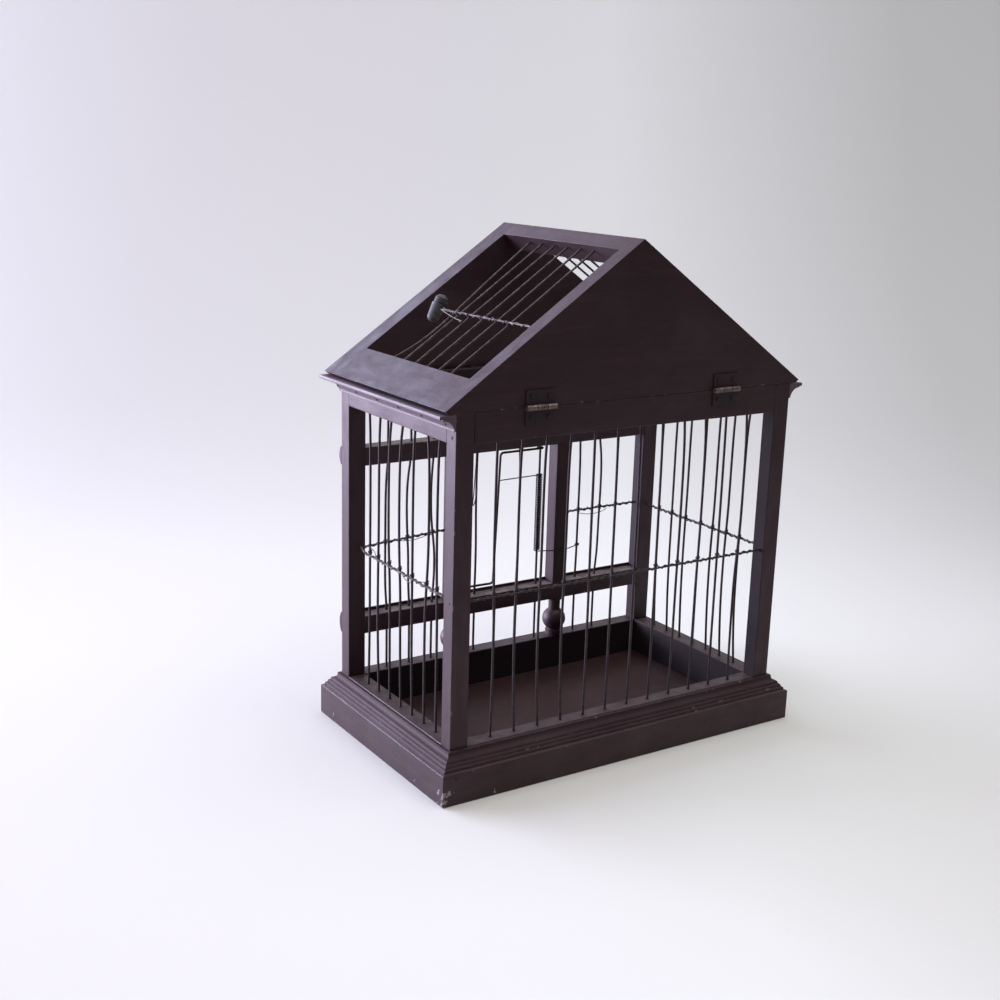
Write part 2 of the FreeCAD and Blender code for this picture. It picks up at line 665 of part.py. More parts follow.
def drill_gable(body, label):
    """Shallow holes in a gable's inner face for the ends of the roof's cross wires."""
    signs = ("-", "") if label == "gable_front" else ("",)
    centres = [(sign + ROOF_BIND_OUT, ROOF_BIND_UP) for sign in signs]
    radius = "(bind_diameter / 2 + hole_slack)"
    if label == "gable_front":
        drill(body, label + "_bind_holes", "XZ_Plane", "-%s" % ROOF_INNER_FRONT, centres, radius,
              "bind_diameter * 2", True)
    else:
        drill(body, label + "_bind_holes", "XZ_Plane", "-%s" % ROOF_INNER_BACK, centres, radius,
              "bind_diameter * 2")


ROOF_SIDES = (("right", "", RIGHT_SLOPE_ANGLE), ("left", "-", LEFT_SLOPE_ANGLE))


def slope_body(label, angle):
    """A body whose local X runs down a roof slope from the ridge."""
    body = new_body(label)
    turn(body, Y_AXIS, angle)
    place(body, "0", "0", RIDGE_HEIGHT)
    return body


def roof_wire_places():
    """Evenly spaced places across the roof's opening, between equal margins."""
    step = "((%s - 2 * roof_wire_margin) / (roof_wire_count - 1))" % ROOF_OPENING
    first = "(%s + roof_wire_margin)" % ROOF_INNER_FRONT
    return ["(%s + %d * %s)" % (first, number, step) for number in range(int(value("roof_wire_count")))]


def make_slopes():
    """Eave boards, ridge boards, wires and cross wires of the two slopes.

    Local Z is the slope's outward normal on the right and its inward normal on the left.
    """
    setback = "(%s - eave_setback)" % EAVE_REACH
    fall = "(ridge_rise + eave_lift)"
    foot_run = "(%s * %s + %s * %s)" % (setback, SLOPE_COS, fall, SLOPE_SIN)
    foot_normal = "(%s * %s - %s * %s)" % (setback, SLOPE_SIN, fall, SLOPE_COS)
    seat_run = "((%s - slope_board_thickness * %s) / %s)" % (fall, SLOPE_COS, SLOPE_SIN)
    mitre_run = "(ridge_board_thickness * %s / %s)" % (SLOPE_SIN, SLOPE_COS)
    under = "(-slope_board_thickness)"
    for side, sign, angle in ROOF_SIDES:
        eave = [(EAVE_EDGE, "0"), (SLOPE_LENGTH, "0"), (foot_run, foot_normal), (seat_run, under),
                (EAVE_EDGE, under)]
        ridge = [("0", "0"), ("ridge_board_width", "0"), ("ridge_board_width", "(-ridge_board_thickness)"),
                 (mitre_run, "(-ridge_board_thickness)")]
        middle = "%s(-slope_board_thickness / 2)" % sign
        hole_centres = [(text, middle) for text in roof_wire_places()]
        for label, corners, edge, inward in (("eave_board_" + side, eave, EAVE_EDGE, True),
                                             ("ridge_board_" + side, ridge, "ridge_board_width", False)):
            body = slope_body(label, angle)
            sketch = new_sketch(body, label + "_outline", "XZ_Plane", "-%s" % ROOF_INNER_BACK)
            outline(sketch, [(run_text, "%s(%s)" % (sign, normal)) for run_text, normal in corners])
            pad(body, sketch, ROOF_OPENING)
            drill(body, label + "_holes", "YZ_Plane", edge, hole_centres, HOLE_RADIUS, HOLE_DEPTH, inward)
        body = slope_body("roof_wires_" + side, angle)
        sketch = new_sketch(body, "roof_wire_%s_section" % side, "YZ_Plane", "ridge_board_width - wire_seat")
        circles(sketch, hole_centres, "wire_diameter / 2")
        pad(body, sketch, "%s - ridge_board_width + 2 * wire_seat" % EAVE_EDGE)
        body = slope_body("roof_bind_wire_" + side, angle)
        seat = "bind_diameter * 1.5"
        start = "(%s - %s)" % (ROOF_INNER_FRONT, seat)
        end = "(%s - toggle_from_back)" % ROOF_INNER_BACK
        if side == "right":
            end = "(%s + %s)" % (ROOF_INNER_BACK, seat)
        sketch = new_sketch(body, "roof_bind_%s_section" % side, "XZ_Plane", "-" + start)
        circles(sketch, [("roof_bind_distance", "%s%s" % (sign, ROOF_BIND_DEPTH))], "bind_diameter / 2")
        pad(body, sketch, "%s - %s" % (end, start), reverse=True)


def make_toggle():
    """A turned wooden peg on the loose end of the left slope's cross wire."""
    body = new_body("roof_toggle")
    profile = new_sketch(body, "toggle_profile", "XZ_Plane", "0")
    low = "(-toggle_length / 2)"
    high = "(toggle_length / 2)"
    head = "toggle_head_diameter / 2"
    shoulder = "(%s - toggle_head_height)" % high
    dome_foot = "(%s - toggle_head_height / 2)" % high
    tip = "toggle_tail_diameter / 5"
    groove = "toggle_neck_diameter / 2"
    dome = "(toggle_head_diameter ^ 2 + toggle_head_height ^ 2) / (4 * toggle_head_height)"
    outline(profile, [("0", low),
                      (tip, low),
                      ("toggle_tail_diameter / 2", "%s + toggle_tail_diameter / 3" % low,
                       "toggle_tail_diameter / 2", 1),
                      ("toggle_body_diameter / 2", "%s - toggle_groove_height" % shoulder),
                      (groove, "%s - toggle_groove_height / 2" % shoulder),
                      (head, shoulder),
                      (head, dome_foot),
                      ("0", high, dome, 1)])
    revolve(body, profile)
    doc.recompute()
    drill(body, "toggle_hole", "XZ_Plane", "-bind_diameter / 2", [("0", "0")],
          "(bind_diameter / 2 + hole_slack)", "2 * toggle_body_diameter", True)
    turn(body, Y_AXIS, "toggle_tilt")
    place(body, "-" + ROOF_BIND_OUT, "%s - toggle_from_back" % ROOF_INNER_BACK, ROOF_BIND_UP)


# Hinges along the front edge of the roof


def screw_places(sign):
    """Two screws in each leaf: above the pin on the roof, below it on the frame."""
    height = "(%s %s screw_rise)" % (HINGE_AXIS_Z, "-" if sign == "-" else "+")
    centres = []
    for hinge_sign in ("-", ""):
        for screw_sign in ("-", "+"):
            centres.append(("(%s%s %s screw_spread / 2)" % (hinge_sign, HINGE_X, screw_sign), height))
    return centres


def make_leaf(label, x_text, upper):
    """One hinge leaf: a plate on the wood, with its knuckles rolled round the pin."""
    body = new_body(label)
    sign = "" if upper else "-"
    third = "(hinge_width / 6)"
    clear = "(barrel_diameter / 2 + knuckle_gap)"
    half = "(hinge_width / 2)"
    if upper:
        tongues = [("-" + half, clear), ("-" + third, clear), ("-" + third, "0"),
                   (third, "0"), (third, clear), (half, clear)]
        knuckles = [("-" + third, "2 * " + third)]
    else:
        edge = "(%s + knuckle_gap)" % third
        tongues = [("-" + half, "0"), ("-" + edge, "0"), ("-" + edge, clear),
                   (edge, clear), (edge, "0"), (half, "0")]
        knuckles = [("-" + half, "%s - %s" % (half, edge)), (edge, "%s - %s" % (half, edge))]
    plate = new_sketch(body, label + "_plate", "XZ_Plane", "-" + LEAF_BACK)
    corners = tongues + [(half, "leaf_height"), ("-" + half, "leaf_height")]
    outline(plate, [(x_place, "%s%s" % (sign, height)) for x_place, height in corners])
    pad(body, plate, "leaf_thickness")
    for number, (start, length) in enumerate(knuckles):
        barrel = body.newObject("PartDesign::AdditiveCylinder", "%s_knuckle_%d" % (label, number))
        barrel.Placement = FreeCAD.Placement(FreeCAD.Vector(), FreeCAD.Rotation(Y_AXIS, 90))
        bind(barrel, "Placement.Base.x", start)
        bind(barrel, "Radius", "barrel_diameter / 2")
        bind(barrel, "Height", length)
    bore = body.newObject("PartDesign::SubtractiveCylinder", label + "_bore")
    bore.Placement = FreeCAD.Placement(FreeCAD.Vector(), FreeCAD.Rotation(Y_AXIS, 90))
    bind(bore, "Placement.Base.x", "-hinge_width")
    bind(bore, "Radius", "pin_diameter / 2 + pin_fit")
    bind(bore, "Height", "2 * hinge_width")
    screw_height = "%sscrew_rise" % sign
    drill(body, label + "_screw_holes", "XZ_Plane", "-" + LEAF_BACK,
          [("-screw_spread / 2", screw_height), ("screw_spread / 2", screw_height)],
          "(screw_diameter / 2 + hole_slack)", "leaf_thickness", True)
    place(body, x_text, HINGE_AXIS_Y, HINGE_AXIS_Z)


def make_hinges():
    """Two small butt hinges on the face of the front gable and of the rail under it."""
    for side, x_text in (("left", "-" + HINGE_X), ("right", HINGE_X)):
        make_leaf("hinge_%s_roof_leaf" % side, x_text, True)
        make_leaf("hinge_%s_frame_leaf" % side, x_text, False)
        body = new_body("hinge_%s_pin" % side)
        pin = body.newObject("PartDesign::AdditiveCylinder", "hinge_%s_pin_rod" % side)
        pin.Placement = FreeCAD.Placement(FreeCAD.Vector(), FreeCAD.Rotation(Y_AXIS, 90))
        bind(pin, "Placement.Base.x", "-hinge_width / 2 - pin_end")
        bind(pin, "Radius", "pin_diameter / 2")
        bind(pin, "Height", "hinge_width + 2 * pin_end")
        place(body, x_text, HINGE_AXIS_Y, HINGE_AXIS_Z)
    for label, sign in (("hinge_screws_roof", ""), ("hinge_screws_frame", "-")):
        body = new_body(label)
        shank = new_sketch(body, label + "_shank", "XZ_Plane", HALF_DEPTH + " + leaf_thickness")
        circles(shank, screw_places(sign), "screw_diameter / 2")
        pad(body, shank, "leaf_thickness + screw_length", reverse=True)
        head = new_sketch(body, label + "_head", "XZ_Plane", HALF_DEPTH + " + leaf_thickness")
        circles(head, screw_places(sign), "screw_head_diameter / 2")
        pad(body, head, "screw_head_height")


# Bent wire: the gate and its spring


def tangent_arc(start, corner, end):
    """The arc that is tangent to start-corner and corner-end, or a line where they are in line."""
    half_chord = (end - start).Length / 2
    leg = (corner - start).Length
    if leg - half_chord < 1e-9:
        return Part.LineSegment(start, end).toShape()
    weight = half_chord / leg
    crown = (start + end + corner * (2 * weight)) * (1 / (2 + 2 * weight))
    return Part.Arc(start, crown, end).toShape()


def bend_points(points, radius):
    """Straight runs through the points, joined by tangent arcs of one radius."""
    edges = []
    last = points[0]
    for before, corner, after in zip(points, points[1:], points[2:]):
        arriving = (corner - before).normalize()
        leaving = (after - corner).normalize()
        trim = radius * math.tan(arriving.getAngle(leaving) / 2)
        arc_start = corner - arriving * trim
        arc_end = corner + leaving * trim
        edges.append(Part.LineSegment(last, arc_start).toShape())
        edges.append(tangent_arc(arc_start, corner, arc_end))
        last = arc_end
    edges.append(Part.LineSegment(last, points[-1]).toShape())
    return edges


def biarc(start, start_tangent, end, end_tangent):
    """Two arcs that join two points with given directions."""
    span = end - start
    total = start_tangent + end_tangent
    square = 4 - total.dot(total)
    along = span.dot(total)
    reach = (math.sqrt(along ** 2 + square * span.dot(span)) - along) / square
    first_corner = start + start_tangent * reach
    last_corner = end - end_tangent * reach
    join = (first_corner + last_corner) * 0.5
    return [tangent_arc(start, first_corner, join), tangent_arc(join, last_corner, end)]


def round_tube(label, edges, radius):
    """A round wire swept along a path, as a finished sub-part."""
    path = Part.Wire(edges)
    first = edges[0]
    start = first.valueAt(first.FirstParameter)
    heading = first.tangentAt(first.FirstParameter)
    section = Part.Wire([Part.Circle(start, heading, radius).toShape()])
    tube = path.makePipeShell([section], True, False)
    expected = math.pi * radius ** 2 * path.Length
    print("%s: length %.1f, volume %.2f of %.2f" % (label, path.Length, tube.Volume, expected))
    feature = doc.addObject("Part::Feature", label)
    feature.Label = label
    feature.Shape = tube
    feature.Placement = FreeCAD.Placement()
    parts.append(feature)


def point(x, y, z):
    return FreeCAD.Vector(x, y, z)


def gate_plane():
    """Where the gate's bent wire lies in front of the back wires."""
    return value(FRONT_WIRE_Y) - value("wire_diameter") - value("gate_clearance")


def make_gate():
    """One bent wire: an eye on the pivot wire, a top bar, the upright, and a foot behind the jamb wire."""
    wire_radius = value("wire_diameter") / 2
    eye_radius = value("wire_diameter + gate_fit")
    centre = point(value(PIVOT_X), value(FRONT_WIRE_Y), value(GATE_TOP))
    upright_y = gate_plane() - wire_radius / 2
    corner = point(value(GATE_X), upright_y, value(GATE_TOP))
    foot = point(value(GATE_X) - value("gate_lean"), upright_y, value(GATE_FOOT))
    tip = point(value(JAMB_X) - value("gate_foot_reach"), gate_plane() + wire_radius / 5, foot.z)
    to_corner = corner - centre
    leg = math.sqrt(to_corner.Length ** 2 - eye_radius ** 2)
    leave_angle = math.atan2(to_corner.y, to_corner.x) + math.atan2(leg, eye_radius)
    eye_sweep = math.radians(225)
    eye = [centre + point(math.cos(angle), math.sin(angle), 0) * eye_radius
           for angle in (leave_angle + eye_sweep, leave_angle + eye_sweep / 2, leave_angle)]
    edges = [Part.Arc(*eye).toShape()]
    edges += bend_points([eye[2], corner, foot, tip], value("gate_bend"))
    round_tube("door_gate", edges, wire_radius)


def least_gap(points, skip, diameter):
    """The least gap between parts of one tube that are at least skip points apart along it."""
    nearest = min((points[later] - points[earlier]).Length
                  for earlier in range(len(points)) for later in range(earlier + skip, len(points)))
    return nearest - diameter


def make_spring():
    """A coil round the pivot wire: its lower tail lies on the door post, its upper tail on the gate."""
    diameter = value("spring_wire")
    radius = value("spring_mean_radius")
    centre = point(value(PIVOT_X), value(FRONT_WIRE_Y), value(SPRING_BOTTOM))
    high = value(SPRING_TOP)
    post_face = value(HALF_DEPTH + " - post_depth") - diameter / 2 - value("bind_slack")
    post_edge = value("door_post_width") / 2 + diameter
    near_edge = point(value(DOOR_POST_X) - post_edge, post_face, centre.z)
    far_edge = point(value(DOOR_POST_X) + post_edge, post_face, centre.z)
    anchor = point(value(FRONT_PLACES[9]), value(FRONT_WIRE_Y), centre.z)
    hook = value("wire_diameter / 2 + spring_touch") + diameter / 2
    past_anchor = anchor + point(hook * 1.6, -hook * 0.35, 0)
    lean = (high - value(GATE_FOOT)) / (value(GATE_TOP) - value(GATE_FOOT))
    gate_x = value(GATE_X) - value("gate_lean") * (1 - lean)
    gate_y = gate_plane() - value("wire_diameter") / 4
    tail = point(gate_x - diameter, gate_y - value("wire_diameter / 2 + spring_touch") - diameter / 2, high)
    arrive = near_edge - centre
    leg = math.sqrt(arrive.x ** 2 + arrive.y ** 2 - radius ** 2)
    start_angle = math.atan2(arrive.y, arrive.x) - math.atan2(leg, radius)
    leave = tail - centre
    leg = math.sqrt(leave.x ** 2 + leave.y ** 2 - radius ** 2)
    end_angle = math.atan2(leave.y, leave.x) + math.atan2(leg, radius)
    turns = int((high - centre.z) / value("spring_pitch"))
    sweep = (start_angle - end_angle) % (2 * math.pi) + 2 * math.pi * turns

    def coil_point(share):
        angle = start_angle - sweep * share
        return point(centre.x + radius * math.cos(angle), centre.y + radius * math.sin(angle),
                     centre.z + (high - centre.z) * share)

    def coil_tangent(share):
        angle = start_angle - sweep * share
        climb = (high - centre.z) / sweep if 0 < share < 1 else 0
        return point(radius * math.sin(angle), -radius * math.cos(angle), climb).normalize()

    halves = int(round(sweep / math.pi))
    shares = [number / halves for number in range(halves + 1)]
    edges = bend_points([past_anchor, far_edge, near_edge, coil_point(0)], 2 * diameter)
    for first, last in zip(shares, shares[1:]):
        edges += biarc(coil_point(first), coil_tangent(first), coil_point(last), coil_tangent(last))
    edges.append(Part.LineSegment(coil_point(1), tail).toShape())
    steps_per_turn = 16
    samples = int(sweep / (2 * math.pi) * steps_per_turn)
    coil = [coil_point(number / samples) for number in range(samples + 1)]
    print("door_spring: least gap to itself %.2f mm" % least_gap(coil, steps_per_turn // 2, diameter))
    round_tube("door_spring", edges, diameter / 2)


def check_and_write():
    """Stop if anything failed to build, then write one file for each sub-part."""
    doc.recompute()
    for thing in doc.Objects:
        if "Invalid" in thing.State or "Error" in thing.State:
            raise ValueError("%s failed: %s" % (thing.Label, thing.State))
    for part in parts:
        if part.Shape.isNull() or not part.Shape.isValid():
            raise ValueError("%s has no valid shape" % part.Label)
    os.makedirs("parts", exist_ok=True)
    for part in parts:
        part.Shape.exportStep("parts/%s.step" % part.Label)
    print("%d sub-parts, %d solids" % (len(parts), sum(len(part.Shape.Solids) for part in parts)))


make_floor()
make_posts()
make_rails()
make_mouldings()
make_back_rails()
make_door_posts()
for door_side, door_sign in DOOR_SIDES:
    make_baluster(door_side, door_sign)
make_wall_wires()
make_bind_wires()
make_gables()
make_slopes()
make_toggle()
make_hinges()
make_gate()
make_spring()
check_and_write()
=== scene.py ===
import math
import random

import bmesh
import bpy
from mathutils import Matrix, Vector


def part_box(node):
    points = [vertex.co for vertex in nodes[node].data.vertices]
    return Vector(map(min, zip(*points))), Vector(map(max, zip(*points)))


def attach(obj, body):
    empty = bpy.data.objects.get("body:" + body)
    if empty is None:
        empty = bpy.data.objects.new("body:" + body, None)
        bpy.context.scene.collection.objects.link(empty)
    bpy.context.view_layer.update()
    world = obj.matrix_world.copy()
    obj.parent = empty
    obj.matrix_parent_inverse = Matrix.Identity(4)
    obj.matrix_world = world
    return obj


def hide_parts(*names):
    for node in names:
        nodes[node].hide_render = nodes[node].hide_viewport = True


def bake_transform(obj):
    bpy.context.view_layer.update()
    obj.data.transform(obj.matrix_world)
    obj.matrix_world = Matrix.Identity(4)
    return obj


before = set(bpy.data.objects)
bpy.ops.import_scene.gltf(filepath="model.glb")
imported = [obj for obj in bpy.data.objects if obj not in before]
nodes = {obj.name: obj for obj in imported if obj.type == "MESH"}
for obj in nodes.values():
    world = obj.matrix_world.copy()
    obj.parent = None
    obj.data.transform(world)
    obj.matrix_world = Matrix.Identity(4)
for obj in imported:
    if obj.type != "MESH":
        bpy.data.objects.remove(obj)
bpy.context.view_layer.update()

scene = bpy.context.scene

# Lengths are in metres, as in the frame, and are written here as multiples of a millimetre.
MM = 0.001

# Sizes that follow the solids
UPRIGHT_RADIUS = 1.0 * MM
BIND_RADIUS = 0.8 * MM
ROOF_WIRE_RADIUS = 0.85 * MM
ROOF_ROD_RADIUS = 0.6 * MM
BIND_HEIGHT = 149.04 * MM
FRONT_PITCH = 21.5 * MM
SIDE_PITCH = 18.2 * MM
WALL_Y = 82.0 * MM
WALL_X = 149.5 * MM
BIND_OUT = 1.85 * MM
POST_INNER_X = 142.0 * MM
POST_INNER_Y = 75.5 * MM
DOOR_SIDE_X = 61.0 * MM
RAIL_TOP = 38.0 * MM
FRONT_PLACES = [(number - 5.5) * FRONT_PITCH for number in range(12)]
SIDE_PLACES = [(number - 3) * SIDE_PITCH for number in range(7)]
HINGE_AXIS = Vector((0.0, -90.7 * MM, 288.65 * MM))
KNUCKLE_GAPS = (-91.73 * MM, -83.27 * MM, 83.27 * MM, 91.73 * MM)
PEG_CENTRE = Vector((-86.7, 60.0, 341.9)) * MM
PEG_AXIS = Vector((0.5, 0.0, 0.866))
RIDGE = Vector((0.0, 0.0, 405.5 * MM))
SLOPE_ANGLE = math.atan2(114.5, 166.0)
ROOF_PLACES = [(17.32 * number - 39.8) * MM for number in range(6)]
ROOF_INNER_Y = -74.5 * MM

# Directions
X_RUN = Vector((1.0, 0.0, 0.0))
Y_RUN = Vector((0.0, 1.0, 0.0))
UP = Vector((0.0, 0.0, 1.0))

# Depths of the roof's wires and rods under the slope's outer face, in millimetres
WIRE_UNDER = 5.0
ROD_UNDER = 3.15

# Sizes of what is made here
WINDING_RADIUS = 0.5 * MM
ROOF_WINDING_RADIUS = 0.34 * MM
WALL_TURN = 7.0 * MM
ROOF_TURN = 11.0 * MM
KNOT_RADIUS = 0.4 * MM
ROOF_KNOT_RADIUS = 0.42 * MM
LOOSE_ROOF_RADIUS = 0.42 * MM
LOOSE_RADIUS = 0.3 * MM
HOOK_RADIUS = 0.45 * MM
TANGLE_RADIUS = 0.24 * MM
ROD_SEAT = 2.4 * MM
LEFT_BEND = 18.0 * MM
NAIL_RADIUS = 1.3 * MM
FOOT_RADIUS = 1.75 * MM

# Which roof wire hangs slack, and which knot of a slope is the thick one
SLACK_PLACE = 5
THICK_KNOT = 2

# How far each wire leans from straight, in millimetres: below and above the cross wire
FRONT_LEANS = [(0.8, -0.6), (-2.2, -1.6), (-2.5, -1.6), (-2.2, -1.2), (0.6, 0.2), (0.6, 0.6),
               (1.0, 1.0), (1.0, 0.8), (1.2, 1.8), (0.7, 1.8), (0.1, 0.3), (-0.9, 1.9)]
LEFT_LEANS = [(0.5, 2.6), (0.6, -3.4), (2.2, 2.4), (2.2, 5.4), (1.0, 4.2), (3.0, 2.0), (-1.6, -1.8)]
RIGHT_LEANS = [(4.6, 3.4), (3.6, 1.6), (2.8, 1.0), (0.2, -0.8), (2.2, 1.3), (2.6, 2.4), (2.4, 2.8)]
BACK_LEANS = {0: (-2.0, -2.0), 1: (-1.6, -3.6), 2: (2.2, -2.0), 4: (0.5, -0.4), 6: (1.0, 1.2),
              9: (0.7, 1.0), 10: (2.6, 3.4), 11: (0.1, -0.3)}


# Camera at the photograph's viewing angle


def make_camera():
    """A camera from a fitted position and three fitted axes."""
    right = Vector((0.84120276, -0.54001295, 0.02763938))
    up = Vector((0.11352447, 0.22635681, 0.96740622))
    ahead = Vector((0.52866824, 0.81064703, -0.25171666))
    place = Vector((-0.643994, -0.892937, 0.473262))
    data = bpy.data.cameras.new("camera")
    data.sensor_fit = "HORIZONTAL"
    data.sensor_width = 36.0
    data.lens = 50.03
    data.clip_start = 0.05
    data.clip_end = 30.0
    camera = bpy.data.objects.new("camera", data)
    turn = Matrix((right, up, -ahead)).transposed()
    camera.matrix_world = Matrix.Translation(place) @ turn.to_4x4()
    scene.collection.objects.link(camera)
    scene.camera = camera


# Material helpers


def new_material(name):
    """A node material with an empty tree: returns the material and its tree."""
    material = bpy.data.materials.new(name)
    material.use_nodes = True
    material.node_tree.nodes.clear()
    return material, material.node_tree


def add(tree, kind, **settings):
    """A node with its own settings, and with values for its sockets by name."""
    node = tree.nodes.new(kind)
    for key, setting in settings.items():
        if hasattr(node, key):
            setattr(node, key, setting)
        else:
            node.inputs[key.replace("_", " ")].default_value = setting
    return node


def coordinates(tree, scale):
    """Object coordinates, scaled: the CAD nodes sit at the origin, so these are the frame's own."""
    place = add(tree, "ShaderNodeTexCoord")
    mapping = add(tree, "ShaderNodeMapping")
    mapping.inputs["Scale"].default_value = scale
    tree.links.new(place.outputs["Object"], mapping.inputs["Vector"])
    return mapping.outputs["Vector"]


def noise(tree, vector, scale, detail=4.0, roughness=0.55, distortion=0.0):
    """A noise texture's value."""
    node = add(tree, "ShaderNodeTexNoise")
    node.inputs["Scale"].default_value = scale
    node.inputs["Detail"].default_value = detail
    node.inputs["Roughness"].default_value = roughness
    node.inputs["Distortion"].default_value = distortion
    tree.links.new(vector, node.inputs["Vector"])
    return node.outputs["Fac"]


def ramp(tree, source, stops):
    """A colour ramp from (place, colour) pairs."""
    node = add(tree, "ShaderNodeValToRGB")
    line = node.color_ramp
    while len(line.elements) < len(stops):
        line.elements.new(0.5)
    for element, (place, colour) in zip(line.elements, stops):
        element.position = place
        element.color = colour if len(colour) == 4 else (*colour, 1.0)
    tree.links.new(source, node.inputs["Fac"])
    return node.outputs["Color"]


def grey(level):
    """A grey colour."""
    return (level, level, level)


def math_node(tree, operation, first, second):
    """A Math node on two sockets or numbers."""
    node = add(tree, "ShaderNodeMath", operation=operation)
    for socket, source in zip(node.inputs, (first, second)):
        if isinstance(source, (int, float)):
            socket.default_value = source
        else:
            tree.links.new(source, socket)
    return node.outputs[0]


def times(tree, first, second):
    """The product of two sockets or numbers."""
    return math_node(tree, "MULTIPLY", first, second)


def plus(tree, first, second):
    """The sum of two sockets or numbers."""
    return math_node(tree, "ADD", first, second)


def fade(tree, source, start, end):
    """A grey ramp between two (place, level) pairs."""
    return ramp(tree, source, [(start[0], grey(start[1])), (end[0], grey(end[1]))])


def mix(tree, factor, first, second, blend_type="MIX"):
    """A colour mix; each input is a socket or a colour."""
    node = add(tree, "ShaderNodeMix", data_type="RGBA", blend_type=blend_type)
    for socket, source in ((node.inputs[0], factor), (node.inputs[6], first), (node.inputs[7], second)):
        if isinstance(source, (int, float)):
            socket.default_value = source
        elif isinstance(source, tuple):
            socket.default_value = (*source, 1.0)
        else:
            tree.links.new(source, socket)
    return node.outputs[2]


def edge_mask(tree, radius, strength):
    """Near one along convex and concave edges: the bevelled normal leaves the true one there."""
    bevel = add(tree, "ShaderNodeBevel", samples=6)
    bevel.inputs["Radius"].default_value = radius
    true_normal = add(tree, "ShaderNodeNewGeometry")
    dot = add(tree, "ShaderNodeVectorMath", operation="DOT_PRODUCT")
    tree.links.new(bevel.outputs["Normal"], dot.inputs[0])
    tree.links.new(true_normal.outputs["Normal"], dot.inputs[1])
    gap = math_node(tree, "SUBTRACT", 1.0, dot.outputs["Value"])
    return math_node(tree, "MINIMUM", times(tree, gap, strength), 1.0)


def surface(tree, colour, roughness, normal=None, **values):
    """A Principled shader wired to the output; values are set on its own sockets."""
    shader = add(tree, "ShaderNodeBsdfPrincipled")
    output = add(tree, "ShaderNodeOutputMaterial")
    tree.links.new(shader.outputs["BSDF"], output.inputs["Surface"])
    for name, source in (("Base Color", colour), ("Roughness", roughness), ("Normal", normal)):
        if source is None:
            continue
        if isinstance(source, (int, float)):
            shader.inputs[name].default_value = source
        elif isinstance(source, tuple):
            shader.inputs[name].default_value = (*source, 1.0)
        else:
            tree.links.new(source, shader.inputs[name])
    for name, setting in values.items():
        shader.inputs[name.replace("_", " ")].default_value = setting
    return shader


def bump(tree, height, strength, distance, normal=None):
    """A normal bumped by a height, on top of another normal if one is given."""
    node = add(tree, "ShaderNodeBump")
    node.inputs["Strength"].default_value = strength
    node.inputs["Distance"].default_value = distance
    tree.links.new(height, node.inputs["Height"])
    if normal is not None:
        tree.links.new(normal, node.inputs["Normal"])
    return node.outputs["Normal"]


# Materials

PAINT_TINT = (1.0, 0.80, 0.87, 1.0)
PAINT_GLOSS = 1.48
CORNICE_GLOSS = 1.62
DOOR_GLOSS = 1.36
EVEN = (1.0, 1.0, 1.0)
MOTTLE_ALONG = {"x": (0.4, 1.0, 1.0), "y": (1.0, 0.4, 1.0), "z": (1.0, 1.0, 0.4)}
GRAIN_ALONG = {"x": (0.09, 1.0, 1.0), "y": (1.0, 0.09, 1.0), "z": (1.0, 1.0, 0.09)}
INNER_FACES = {"x": POST_INNER_X + 0.3 * MM, "y": POST_INNER_Y + 0.3 * MM}
MOULDING_FOOT = 25.5 * MM
CHIPS_TOP = 13.0 * MM
NEAR_CORNER = (-170.0 * MM, -101.5 * MM)
CORNER_REACH = 11.0 * MM
WORN_REACH = 1.1 * MM
CHIP_REACH = 2.4 * MM
EDGE_ROUNDING = 0.5 * MM
SEAM_HALF = 0.8 * MM
SEAM_COLOUR = (0.0015, 0.0012, 0.0012)
UPWARD = 0.6
RAIL_PALE_TOP = 0.25
MIDDLE_PALE_TOP = 0.9
CORNICE_PAINTED_LIGHT = 0.5
PEG_GROOVES = (7.8 * MM, 5.3 * MM, 3.6 * MM)
GROOVE_HALF = 0.45 * MM
KNUCKLE_BARE = 1.9 * MM
KNUCKLE_PAINTED = 2.9 * MM
GAP_HALF = 0.35 * MM


def coordinate(tree, axis):
    """One of the three object coordinates."""
    where = add(tree, "ShaderNodeTexCoord")
    parts = add(tree, "ShaderNodeSeparateXYZ")
    tree.links.new(where.outputs["Object"], parts.inputs["Vector"])
    return parts.outputs[axis.upper()]


def distance_to(tree, kept_axes, point):
    """How far a place is from a point, counting only the axes that are kept."""
    place = add(tree, "ShaderNodeTexCoord")
    flat = add(tree, "ShaderNodeVectorMath", operation="MULTIPLY")
    flat.inputs[1].default_value = kept_axes
    tree.links.new(place.outputs["Object"], flat.inputs[0])
    away = add(tree, "ShaderNodeVectorMath", operation="DISTANCE")
    tree.links.new(flat.outputs["Vector"], away.inputs[0])
    away.inputs[1].default_value = point
    return away.outputs["Value"]


def line_mask(tree, along, places, half_width):
    """One on thin lines across a piece, where a coordinate is near one of the places."""
    found = 0.0
    for place in places:
        away = math_node(tree, "ABSOLUTE", math_node(tree, "SUBTRACT", along, place), 0.0)
        found = math_node(tree, "MAXIMUM", math_node(tree, "LESS_THAN", away, half_width), found)
    return found


def inner_shade_mask(tree, axes):
    """One on the faces that look into the cage, square to the named axes, where painted shade darkens the
    paint.
    """
    found = 0.0
    for axis in axes:
        away = math_node(tree, "ABSOLUTE", coordinate(tree, axis), 0.0)
        found = math_node(tree, "MAXIMUM", math_node(tree, "LESS_THAN", away, INNER_FACES[axis]), found)
    return found


def corner_mask(tree, corner, reach):
    """One at an upright edge through a point of the plan, falling to nothing at the reach."""
    away = distance_to(tree, (1.0, 1.0, 0.0), (*corner, 0.0))
    near = math_node(tree, "SUBTRACT", 1.0, math_node(tree, "DIVIDE", away, reach))
    return math_node(tree, "MAXIMUM", near, 0.0)


